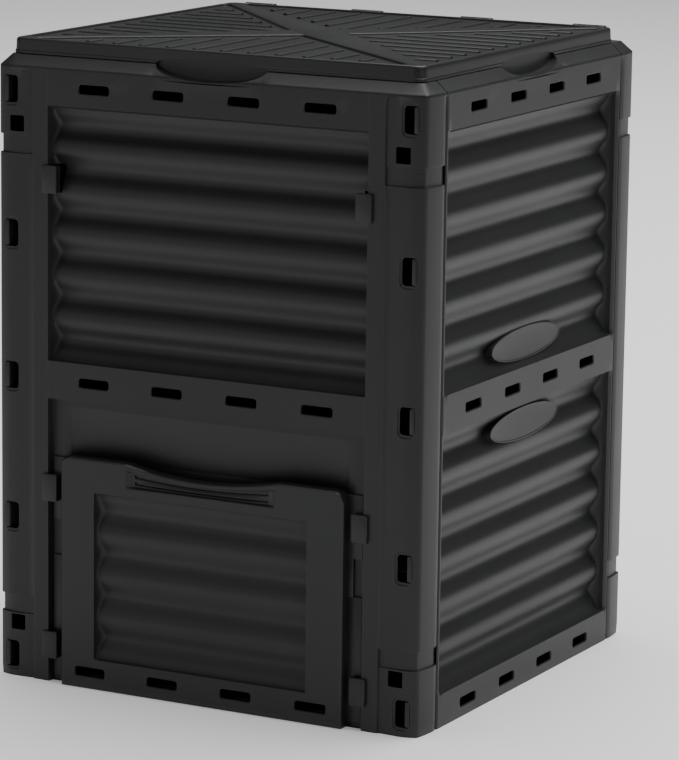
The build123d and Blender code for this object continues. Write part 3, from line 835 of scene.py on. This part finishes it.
# %% [markdown]
# The front and back walls wrap round the corners, and the side walls stand
# flat between them.  The front alone has the hatch opening and the slots that
# the mould leaves behind its two upper tabs.

# %% Four skins
plan, out = corner_plan(wall_lines(front_recess, "front"))
front_skin = make_wall(
    "front skin", 0.0, plan, out, front_depth, [(*upper_panel, front_recess)],
    [(slot_cutter, rail_rows), (hook_cutter, post_hooks), (lock_cutter, post_locks),
     (hatch_cutter, [(0, -half, 146.0)]),
     (core_cutter, [(s * (front_recess - 7.5), -half, tab_zs[2]) for s in (-1, 1)])],
    1.0, front_levels)
plan, out = corner_plan(wall_lines(front_recess, "back"))
back_skin = make_wall(
    "back skin", pi, plan, out, post_depth,
    [(*upper_panel, front_recess), (*lower_panel, front_recess)],
    [(slot_cutter, rail_rows + slot_row(bottom_slot_z)), (hook_cutter, post_hooks),
     (lock_cutter, post_locks)],
    0.0, full_levels, neck_back_inset)
sides = (("right", pi / 2), ("left", -pi / 2))
side_slots = [spot for z in (top_slot_z, mid_slot_z, bottom_slot_z)
              for spot in slot_row(z, side_slot_pitch)]
side_skins = {}
for label, angle in sides:
    plan, out = side_plan(wall_lines(side_recess, "side"))
    side_skins[label] = make_wall(
        label + " skin", angle, plan, out, side_depth,
        [(*upper_panel, side_recess), (*lower_panel, side_recess)], [(slot_cutter, side_slots)],
        1.0, full_levels)

# %% [markdown]
# Six tabs stand on the front wall's stiles and reach over the recess.  The
# lower four hold the door's flange; each has a flat front and a lip that curls
# back at its free end.

# %% Front wall
def tab(side, z):
    """One tab with its curled lip, on the left (-1) or right (1) stile."""
    root, tip = side * (front_recess + 7), side * (front_recess - 15)
    front = -half - 4.5
    arm = soft_block("tab arm", (min(root, tip), front, z - tab_height / 2),
                     (max(root, tip), -half + 0.4, z + tab_height / 2), 1.3, 1, 2.5)
    inner = side * (front_recess - 11.5)
    lip = soft_block("tab lip", (min(inner, tip), -half - 3.4, z - tab_height / 2 + 0.6),
                     (max(inner, tip), -half + 6.0, z + tab_height / 2 - 0.6), 1.0, 1, 1.4)
    return [arm, lip]


front_parts = [front_skin]
for side in (-1, 1):
    for z in tab_zs:
        front_parts += tab(side, z)
front_piece = join("front_wall_moulding", front_parts, wall_finish)

# %% [markdown]
# The back wall is the same moulding without a hatch.  On its ledge stand the
# hinge ears, a pair to each knuckle of the lid, round at the top and bored for
# the pin.

# %% Back wall
knuckle_half, ear_half, hinge_play = 14.0, 4.0, 0.5


def hinge_disc(name, middle, reach, radius, foot=None):
    """A plate across the hinge axis with eased rims: a whole disc, or straight down to a foot."""
    rings = []
    for side in (-1, 1):
        for back, inset in ((0.0, 0.7), (0.25, 0.2), (0.7, 0.0))[::-side]:
            x, r = middle + side * (reach - back), radius - inset
            ring = [(x, hinge_y + r * cos(a), hinge_z + r * sin(a)) for a in np.linspace(0, pi, 17)]
            if foot is None:
                ring += [(x, hinge_y + r * cos(a), hinge_z + r * sin(a))
                         for a in np.linspace(pi, 2 * pi, 17)[1:-1]]
            else:
                ring += [(x, hinge_y - r, foot), (x, hinge_y + r, foot)]
            rings.append(ring)
    return loft(name, rings)


back_parts = [back_skin]
ear_offset = knuckle_half + ear_half + hinge_play
for x in hinge_xs:
    for middle in (x - ear_offset, x + ear_offset):
        back_parts.append(hinge_disc("ear", middle, ear_half, 8.8, ledge_z - 1.5))
back_piece = join("back_wall_moulding", back_parts, wall_finish)

# %% [markdown]
# The side walls carry the hooks: a narrow tongue reaches forward through each
# pocket of the corner post and ends flush with the pocket's floor.  A flange
# closes the seam from behind.  Two blank oval plates sit on the corrugations,
# above and below the middle rail.

# %% Side walls
def oval_plate(z):
    """A thin oval plate lying over the wave crests, in the front wall's place."""
    rings = []
    for lift, inset in ((-10.0, 0.0), (0.0, 0.0), (0.6, 0.15), (0.95, 0.5), (1.0, 1.0), (1.0, 1.8),
                        (0.7, 2.2), (0.45, 2.6), (0.4, 3.4)):
        rings.append([((98 - inset) * cos(a), -half + recess_depth - lift, z + (21 - inset) * sin(a))
                      for a in np.linspace(0, 2 * pi, 97)[:-1]])
    return loft("plate", rings)


def side_parts():
    """Flanges, hook tongues, their bridges and the plates, in the front wall's place."""
    parts = []
    for end in (-1, 1):
        near, far = end * (side_half - 6), end * (half - 20.5)
        parts.append(soft_block("flange", (min(near, far), -half + 5.4, 1.0),
                                (max(near, far), -half + 8.2, shoulder_z - 6), 0.5, 1, 1.0))
        for z in hook_zs:
            a, b = end * (half - 22.0), end * (half - 2.6)
            parts.append(soft_block("tongue", (min(a, b), -half + 13.0, z - 16),
                                    (max(a, b), -half + 19.5, z + 16), 0.9, 0, 2.0))
            parts.append(soft_block("bridge", (min(far, a), -half + 4.4, z - 16),
                                    (max(far, a) + 0.5, -half + 19.0, z + 16), 0.5, 0, 1.0))
    return parts + [oval_plate(mid_rail[1] + 27.0), oval_plate(mid_rail[0] - 27.0)]


side_pieces = {}
for label, angle in sides:
    parts = side_parts()
    for part in parts:
        place = turned(np.array([v.co for v in part.data.vertices]), angle)
        part.data.vertices.foreach_set("co", place.ravel())
    side_pieces[label] = join(label + "_wall_moulding", [side_skins[label]] + parts, wall_finish)

# %% [markdown]
# The lid is a shallow tray turned upside down.  Its outside is a stack of
# rounded rectangles: a bead low on the skirt, a nearly upright side, and a
# rounded rim.  A smaller stack hollows it from below, four sunk fields leave
# the rim and a diagonal cross standing, and the skirt arches up over each
# finger scoop.  Cutting tools make the hollows, just as steel cores would.

# %% Lid stacks
lid_low, lid_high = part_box("lid")
lid_half = lid_high.x / MM
lid_front = lid_low.y / MM
lid_back = lid_front + 548.45
lid_mid = (lid_front + lid_back) / 2
lid_depth = (lid_back - lid_front) / 2
lid_foot = ledge_z + 0.6
field_floor = height - 3.0
field_x, field_y = lid_half - 8.0, lid_depth - 8.0


def stack(name, rings):
    """A solid from (inset, z) pairs of the lid's outline, foot first."""
    loops = []
    for inset, z in rings:
        outline = rounded_outline(lid_half - inset, lid_depth - inset, 14.0 - inset * 0.6, 10)
        loops.append([(x, lid_mid + y, z) for x, y in outline])
    return loft(name, loops)


print("lid from", round(lid_front, 1), "to", round(lid_back, 1))

# %% [markdown]
# Each field is a triangle with rounded corners and sloping sides.  Its cutter
# grows a little at every step upwards: the tool finds the centre of each
# corner's circle, then walks round all three circles once for each depth.

# %% Lid cutters
def field_cutter(corners):
    """A triangular field's cutting tool, with rounded corners and sloping sides."""
    corners = [np.array(c, float) for c in corners]
    radius, count = 6.0, len(corners)
    sides = []
    for i in range(count):
        edge = corners[(i + 1) % count] - corners[i]
        normal = np.array([edge[1], -edge[0]]) / hypot(*edge)
        sides.append((normal, normal @ corners[i] - radius))
    rings = []
    for z, grow in ((height + 4, 4.0), (height, 1.3), (height - 0.35, 0.5), (height - 0.9, 0.1),
                    (field_floor + 0.6, -0.3), (field_floor + 0.1, -0.7), (field_floor, -1.2)):
        ring = []
        for i in range(count):
            (n0, d0), (n1, d1) = sides[i - 1], sides[i]
            centre = np.linalg.solve(np.array([n0, n1]), np.array([d0, d1]))
            first, last = np.arctan2(n0[1], n0[0]), np.arctan2(n1[1], n1[0])
            sweep = (last - first) % (2 * pi)
            for k in range(9):
                angle = first + sweep * k / 8
                spot = centre + (radius + grow) * np.array([cos(angle), sin(angle)])
                ring.append((spot[0], lid_mid + spot[1], z))
        rings.append(ring)
    return loft("field cutter", rings)


def arch_cutter():
    """The tool that arches the skirt over a scoop, in the front's place."""
    rings = []
    for y, grow in ((-half, 4.0), (-lid_half - 0.1, 1.2), (-lid_half + 0.5, 0.3), (-lid_half + 1.2, 0.0),
                    (-lid_half + 9.0, 0.0)):
        rings.append([((scoop_half + grow) * cos(a), y, lid_foot + (8.0 + grow) * sin(a))
                      for a in np.linspace(0, 2 * pi, 65)[:-1]])
    return loft("arch cutter", rings)


arm_end, arm_middle = 16.0, 58.0
rim_end, cross_mid = arm_end / sqrt(2), arm_middle / sqrt(2)
print("the cross is", arm_end, "mm wide at the rim and", arm_middle, "at the middle")

# %% [markdown]
# The shell and its cavity are two stacks, and one openings tree for each tool
# subtracts them in turn.  All three arches are one tool, turned.

# %% Lid shell
lid_shell = stack("lid shell", [
    (1.0, lid_foot), (0.35, lid_foot + 0.15), (0.0, lid_foot + 0.7), (0.0, lid_foot + 3.2),
    (0.35, lid_foot + 3.9), (0.9, lid_foot + 4.4), (1.2, lid_foot + 12.0), (1.4, height - 3.6),
    (1.75, height - 2.1), (2.5, height - 0.9), (3.4, height - 0.25), (4.6, height)])
lid_shell.data.materials.append(lid_finish)
cavity = stack("lid cavity", [
    (2.5, lid_foot - 3), (2.6, lid_foot), (3.2, lid_foot + 10), (4.5, field_floor - 3.2),
    (5.6, field_floor - 2.5)])
cutters = [(cavity, 0.0)]
for s in (-1, 1):
    back_or_front = [(rim_end - field_x, s * field_y), (field_x - rim_end, s * field_y),
                     (0, s * cross_mid)]
    right_or_left = [(s * field_x, rim_end - field_y), (s * field_x, field_y - rim_end),
                     (s * cross_mid, 0)]
    for corners in (back_or_front, right_or_left):
        area = sum(a[0] * b[1] - a[1] * b[0] for a, b in zip(corners, corners[1:] + corners[:1]))
        cutters.append((field_cutter(corners if area > 0 else corners[::-1]), 0.0))
arch = arch_cutter()
cutters += [(arch, 0.0), (arch, pi / 2), (arch, -pi / 2)]
centre_place = places_mesh("centre place", [(0, 0, 0)], 0.0)
for cutter, angle in cutters:
    cutter.hide_render = True
    put_tree(lid_shell, pierce, places=centre_place, cutter=cutter, turn=angle, material=lid_finish)
bake(lid_shell)
print("lid shell", len(lid_shell.data.polygons), "faces")

# %% [markdown]
# The stiffening ribs in the fields follow one rule: a fixed pitch, as long as
# the field allows, with rounded tapering ends.  A mesh of straight paths
# carries the rule, each point with a swell that is 1 along the rib and falls
# to nothing at its ends, and Geometry Nodes sweep an oval along every path.

# %% Lid ribs
def rib_paths():
    """Start and end of every rib on the lid."""
    pitch, gap, shortest = 38.0, 16.0, 14.0
    ribs = []
    for reach, other, flip in ((field_x, field_y, False), (field_y, field_x, True)):
        for i in range(-7, 8):
            place = i * pitch
            low = cross_mid + (other - cross_mid) * abs(place) / (reach - rim_end) + gap
            high = other - gap
            if high - low > shortest:
                for s in (-1, 1):
                    ends = [(place, s * low), (place, s * high)]
                    ribs.append([(b, a) if flip else (a, b) for a, b in ends])
    return ribs


swell_steps = [(0.0, 0.05), (0.3, 0.42), (1.0, 0.7), (2.2, 0.93), (4.0, 1.0)]
points, edges, swells = [], [], []
for start, stop in rib_paths():
    start, stop = np.array(start), np.array(stop)
    length = hypot(*(stop - start))
    stations = swell_steps + [(length - d, w) for d, w in reversed(swell_steps)]
    for k, (d, w) in enumerate(stations):
        x, y = start + (stop - start) * d / length
        if k:
            edges.append((len(points) - 1, len(points)))
        points.append((x, lid_mid + y, field_floor - 0.2))
        swells.append(w)
mesh = bpy.data.meshes.new("rib paths")
mesh.from_pydata([tuple(np.array(p) * MM) for p in points], edges, [])
mesh.attributes.new("swell", "FLOAT", "POINT").data.foreach_set("value", np.array(swells, np.float32))
ribs = bpy.data.objects.new("lid ribs", mesh)
bpy.context.scene.collection.objects.link(ribs)
print(len(edges), "path steps for the ribs")

# %% [markdown]
# The tree turns the paths into curves, sizes them by their swell, and sweeps a
# circle squeezed to an oval along them.  Half of each rib is sunk in the lid.

# %% Rib tree
rib_tree, given, result = new_tree("Ribs", [
    ("Width", "Float"), ("Height", "Float"), ("Material", "Material")])
swell = add(rib_tree, "GeometryNodeInputNamedAttribute", {"Name": "swell"}).outputs[0]
path = add(rib_tree, "GeometryNodeMeshToCurve", {0: given["Geometry"]}).outputs[0]
upright = add(rib_tree, "GeometryNodeSetCurveNormal", {"Curve": path}, mode="Z_UP").outputs[0]
sized = add(rib_tree, "GeometryNodeSetCurveRadius", {"Curve": upright, "Radius": swell}).outputs[0]
disc = add(rib_tree, "GeometryNodeCurvePrimitiveCircle", {"Resolution": 20, "Radius": 0.5}).outputs[0]
size = add(rib_tree, "ShaderNodeCombineXYZ", {"X": given["Width"], "Y": given["Height"], "Z": 1.0})
oval = add(rib_tree, "GeometryNodeTransform", {"Geometry": disc, "Scale": size.outputs[0]}).outputs[0]
swept = add(rib_tree, "GeometryNodeCurveToMesh", {"Curve": sized, "Profile Curve": oval, "Fill Caps": True})
finish_tree(rib_tree, swept.outputs[0], given["Material"], result)
put_tree(ribs, rib_tree, width=7.0 * MM, height=5.0 * MM, material=lid_finish)
bake(ribs)
high = [v.co.z / MM for v in ribs.data.vertices]
print(len(rib_paths()), "ribs, from", round(min(high), 2), "to", round(max(high), 2))

# %% [markdown]
# Four knuckles stand behind the lid's back edge, each a drum across the hinge
# axis with a block that ties it to the skirt.

# %% Lid knuckles
lid_parts = [lid_shell, faces_out(ribs)]
for x in hinge_xs:
    lid_parts.append(hinge_disc("knuckle", x, knuckle_half, 8.7))
    lid_parts.append(soft_block("knuckle root", (x - 13.6, lid_back - 2.4, hinge_z - 6.0),
                                (x + 13.6, hinge_y, height - 0.25), 0.5, 0, 1.2))
lid_piece = join("lid_moulding", lid_parts, lid_finish)

# %% [markdown]
# The hatch door is a tray too: a front plate whose rim turns back into the
# recess.  Its top edge sags in the middle to make room for fingers, and below
# the edge there is a sunk grip band with two grooves.  The grid's rows follow
# the edge in the upper part, so the band and its grooves run parallel to the
# sag.  Rings continue round the rim and back, and Solidify thickens it all.

# %% Door edge
door_half, door_top, door_foot = 200.0, 295.5, 0.5
door_face = -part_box("hatch_door")[0].y / MM
door_radius, grip_half, grip_sag, grip_foot = 12.0, 106.0, 12.0, 266.0
window_foot, window_top, window_half = 39.5, 254.0, 151.0
straight_top = 262.0


def door_edge(u):
    """Height of the door's top edge at a place along it."""
    circle = (grip_half ** 2 + grip_sag ** 2) / (2 * grip_sag)
    sag = np.sqrt(np.maximum(circle ** 2 - u ** 2, 0)) - (circle - grip_sag)
    corner = np.maximum(np.abs(u) - (door_half - door_radius), 0)
    drop = door_radius - np.sqrt(np.maximum(door_radius ** 2 - corner ** 2, 0))
    return door_top - 0.5 * (sag + np.sqrt(sag ** 2 + 0.3)) - drop


print("the edge sags to", round(float(door_edge(0.0)), 1), "from", round(float(door_edge(150.0)), 1))

# %% [markdown]
# The depths on the door's front are rules again.  Heights near the edge are
# counted downwards from it, stretched so that 19.2 steps always reach the foot
# of the grip band, and the whole outline is eased by a quarter circle.

# %% Door plate
grip_rows = np.array([21.0, 20.2, 19.6, 19.0, 18.4, 17.4, 16.4, 16.0, 15.5, 14.5, 14.0, 13.6, 12.0, 10.4,
                      10.0, 9.5, 8.5, 8.0, 7.6, 7.2, 6.8, 6.2, 5.6, 5.0, 3.6, 2.4, 1.2, 0.0])
band_rows, edge_round = 19.2, 2.4


def grip_depth(u, q):
    """Depth of the grip band and its two grooves, q rows below the edge."""
    within = ramp(grip_half - 2.0 - np.abs(u), -1.2, 1.2)
    band = ramp(band_rows - q, -0.9, 0.9) * 1.6
    band = band + ramp(band_rows - q, -0.5, 0.9) * ramp(q, 5.0, 6.4) * 3.2
    along_groove = ramp(94.0 - np.abs(u), -0.6, 0.6)
    grooves = sum(ramp(1.3 - np.abs(q - c), -0.35, 0.35) for c in (9.0, 15.0)) * 3.0 * along_groove
    return within * (band + grooves)


def door_plate():
    """The door's front as a grid of points."""
    columns = grid_lines(
        -door_half, door_half, [s * e for s in (-1, 1) for e in (window_half, grip_half, 95.0)],
        [(-door_half, door_half, 14.0)] + both_sides(184.0, door_half, 2.0)
        + both_sides(138.0, window_half, 1.7))
    wave_step = (window_top - window_foot) / 4 / 14
    below = grid_lines(door_foot, straight_top, [window_foot, window_top],
                       [(window_foot, window_top, wave_step), (door_foot, straight_top, 7.0)])
    u = np.tile(columns, (len(below) + len(grip_rows), 1))
    edge = door_edge(columns)
    stretch = (door_edge(np.clip(columns, -grip_half, grip_half)) - grip_foot) / band_rows
    squeeze = np.minimum(1.0, (edge - grip_rows[0] * stretch - 0.5) / straight_top)
    z = np.concatenate([below[:, None] * squeeze, edge - grip_rows[:, None] * stretch])
    rim_gap = np.minimum(np.minimum(edge - z, z - door_foot), door_half - np.abs(u))
    easing = 1 - (1 - np.clip(rim_gap / edge_round, 0, 1)) ** 2
    depth = grip_depth(u, (edge - z) / stretch) + edge_round * (1 - np.sqrt(np.maximum(easing, 0)))
    return np.stack([u, depth - door_face, z], -1)


grid = door_plate()
print("door plate", grid.shape[0], "x", grid.shape[1])

# %% [markdown]
# Rings of points continue the plate's outline backwards as the rim.  Only the
# plate takes the corrugation, so the rim's points are told to stay.

# %% Door shell
n_rows, n_columns = grid.shape[:2]
faces = grid_faces(n_rows, n_columns)
index = np.arange(n_rows * n_columns).reshape(n_rows, n_columns)
rim = np.concatenate([index[0, :], index[1:, -1], index[-1, -2::-1], index[-2:0:-1, 0]])
points = list(grid.reshape(-1, 3))
previous = list(rim)
for back in (5.5, 9.0, 13.0, 17.6):
    current = list(range(len(points), len(points) + len(rim)))
    for x, y, z in [points[i] for i in rim]:
        points.append(np.array([x, -door_face + max(back, y + door_face + 0.6), z]))
    after = current[1:] + current[:1]
    before = previous[1:] + previous[:1]
    faces += list(zip(previous, current, after, before))
    previous = current
door_shell = new_object("door shell", points, faces, door_finish)
points = np.array(points)
inward = np.zeros((len(points), 3))
inward[:n_rows * n_columns, 1] = 1.0
give_fields(door_shell, points[:, 0], points[:, 2], inward)
put_tree(door_shell, corrugate, bottom=window_foot, top=window_top, half_length=window_half,
         set_back=7.0, wave_depth=8.0, waves=4.0, side_run=4.0, valley_run=6.0)
thicken(door_shell, 2.6)
door_slots = places_mesh("door places", slot_row(22.0, slot_pitch, -door_face), 0.0)
put_tree(door_shell, pierce, places=door_slots, cutter=door_slot_cutter, turn=0.0, material=door_finish)
bake(door_shell)
print("door shell", len(door_shell.data.polygons), "faces")

# %% [markdown]
# Behind the rim a flat flange reaches out on both sides and slides behind the
# tabs.  Notches in it let the lifted door clear the tabs and come away.

# %% Door flange
flange_half = half - 82.0
flange_back = -half + 9.6
door_parts = [door_shell]
flange_foot, flange_top = 8.0, 291.0
free = tab_zs[0] + tab_height / 2 - flange_foot + 1.0
travel = next(joint["range_m"][1] for joint in frame["joints"] if joint["name"] == "door_lift") / MM
notch = (tab_zs[1] - tab_height / 2 - travel - 1.0, tab_zs[1] + tab_height / 2 - free + 1.0)
for s in (-1, 1):
    inner, outer, narrow = s * 196.0, s * flange_half, s * (half - 94.0)
    for low, high, reach in ((flange_foot, notch[0], outer), (notch[0] - 1, notch[1] + 1, narrow),
                             (notch[1], flange_top, outer)):
        door_parts.append(soft_block("flange", (min(inner, reach), flange_back - 2.9, low),
                                     (max(inner, reach), flange_back, high), 0.5, 1, 1.5))
door_piece = join("hatch_door_moulding", door_parts, door_finish)
print("door notches", [round(v, 1) for v in notch])

# %% [markdown]
# The four hinge pins are plain rods with small heads, so the design's own mesh
# is already right and only needs its finish.

# %% Hinge pins
pins = frame["nodes"]["hinge_pins"]
pins.data.materials.clear()
pins.data.materials.append(pin_finish)
print("hinge pins wear", pins.data.materials[0].name)

# %% [markdown]
# Each moulding hides the design's part of the same name and moves with its
# body.  The cutters and place markers have done their work, so they go.

# %% Bodies
pieces = [(front_piece, "front_wall", "bin", "wall_plastic"),
          (back_piece, "back_wall", "bin", "wall_plastic"),
          (side_pieces["left"], "left_wall", "bin", "wall_plastic"),
          (side_pieces["right"], "right_wall", "bin", "wall_plastic"),
          (lid_piece, "lid", "lid", "lid_plastic"), (door_piece, "hatch_door", "door", "door_plastic")]
for piece, node, body, slot in pieces:
    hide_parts(node)
    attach(piece, body)
    corners = np.array([v.co for v in piece.data.vertices])
    print(piece.name, "from", np.round(corners.min(0), 4), "to", np.round(corners.max(0), 4))
helpers = [o for o in bpy.data.objects if o.type == "MESH" and o.hide_render and "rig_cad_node" not in o]
for helper in helpers:
    bpy.data.objects.remove(helper)
print("removed", len(helpers), "cutters and place markers")

# %% [markdown]
# The stage is a wide, flat, pale floor, so that dark plastic reads against it.
# It glows a little, because a real white floor is lit from all over the room.
# The bin has no bottom, so a dark sheet lies inside it as painted shade, standing
# in for the shadow under the lid, and the slots look into darkness, not out
# onto a bright floor.

# %% Floor and painted shade inside
def square(name, reach, z):
    """A flat square about the middle, in millimetres."""
    corners = [(-reach, -reach, z), (reach, -reach, z), (reach, reach, z), (-reach, reach, z)]
    return new_object(name, corners, [(0, 1, 2, 3)])


floor = square("floor", 20000, 0)
floor_finish = bpy.data.materials.new("pale floor")
floor_finish.use_nodes = True
floor_tree = floor_finish.node_tree
floor_surface = floor_tree.nodes["Principled BSDF"]
floor_place = floor_tree.nodes.new("ShaderNodeTexCoord").outputs["Object"]
mottle = add(floor_tree, "ShaderNodeTexNoise", {"Vector": floor_place, "Scale": 3.0, "Detail": 3.0})
tint = cloud_colours(floor_tree, mottle.outputs["Fac"], [0.92] * 3 + [1.0], [0.95] * 3 + [1.0])
floor_tree.links.new(tint, floor_surface.inputs["Base Color"])
floor_surface.inputs["Roughness"].default_value = 0.7
floor_surface.inputs["Emission Color"].default_value = (1.0, 1.0, 1.0, 1.0)
floor_surface.inputs["Emission Strength"].default_value = 0.2
floor.data.materials.append(floor_finish)
# A dark sheet inside the bin: painted shade in place of the shadow under the lid and walls.
earth = square("earth", 294, 0.4)
earth.data.materials.append(satin_plastic("dark earth", (0.006, 0.0055, 0.005), 0.85))
print("floor and earth laid")

# %% [markdown]
# Black satin plastic shows mostly what it mirrors, so four soft panels do the
# lighting.  A wide one overhead lights the floor and lid, one at the left
# draws the long lines along the front's wave crests, and two at the right draw
# the side wall's.  The panels hide from the camera, so that other views don't
# show them, and the world behind adds only a faint even light.

# %% Lights
def panel(name, spot, aim, width, tall, power):
    """A rectangular soft light at a spot in metres, turned to a point."""
    data = bpy.data.lights.new(name, "AREA")
    data.shape = "RECTANGLE"
    data.size, data.size_y = width, tall
    data.energy = power
    lamp = bpy.data.objects.new(name, data)
    lamp.location = spot
    lamp.rotation_euler = (Vector(aim) - Vector(spot)).to_track_quat("-Z", "Y").to_euler()
    lamp.visible_camera = False
    bpy.context.scene.collection.objects.link(lamp)


world = bpy.data.worlds.new("studio")
world.use_nodes = True
world.node_tree.nodes["Background"].inputs["Color"].default_value = (1.0, 1.0, 1.0, 1.0)
world.node_tree.nodes["Background"].inputs["Strength"].default_value = 0.08
bpy.context.scene.world = world
middle = (0.0, 0.0, 0.4)
panel("right panel", (3.2, -1.3, 1.5), middle, 0.35, 2.4, 6.5)
panel("far right panel", (1.9, 3.6, 1.9), middle, 1.8, 2.4, 1.6)
panel("left panel", (-2.1, -3.9, 1.8), middle, 3.0, 2.6, 20.0)
panel("overhead panel", (1.0, 2.4, 7.0), (1.0, 2.4, 0.0), 8.0, 8.0, 960.0)

# %% [markdown]
# The camera stands low, well to the right of the front and far away, with a
# long lens, so the upright edges stay nearly parallel and the lid is seen at
# a shallow angle.

# %% Camera
camera_data = bpy.data.cameras.new("camera")
camera_data.lens = 186.36
camera_data.sensor_width = 36.0
camera_data.clip_end = 200.0
camera = bpy.data.objects.new("camera", camera_data)
yaw, pitch, roll = radians(27.982), radians(11.047), radians(0.75)
forward = Vector((-sin(yaw) * cos(pitch), cos(yaw) * cos(pitch), -sin(pitch)))
right = Vector((cos(yaw), sin(yaw), 0.0))
upward = right.cross(forward)
tilted_right = right * cos(roll) + upward * sin(roll)
tilted_up = upward * cos(roll) - right * sin(roll)
axes = Matrix((tilted_right, tilted_up, -forward)).transposed()
camera.matrix_world = Matrix.Translation((2.360224, -4.388785, 1.334808)) @ axes.to_4x4()
bpy.context.scene.collection.objects.link(camera)
bpy.context.scene.camera = camera
print("camera at", [round(v, 3) for v in camera.location])
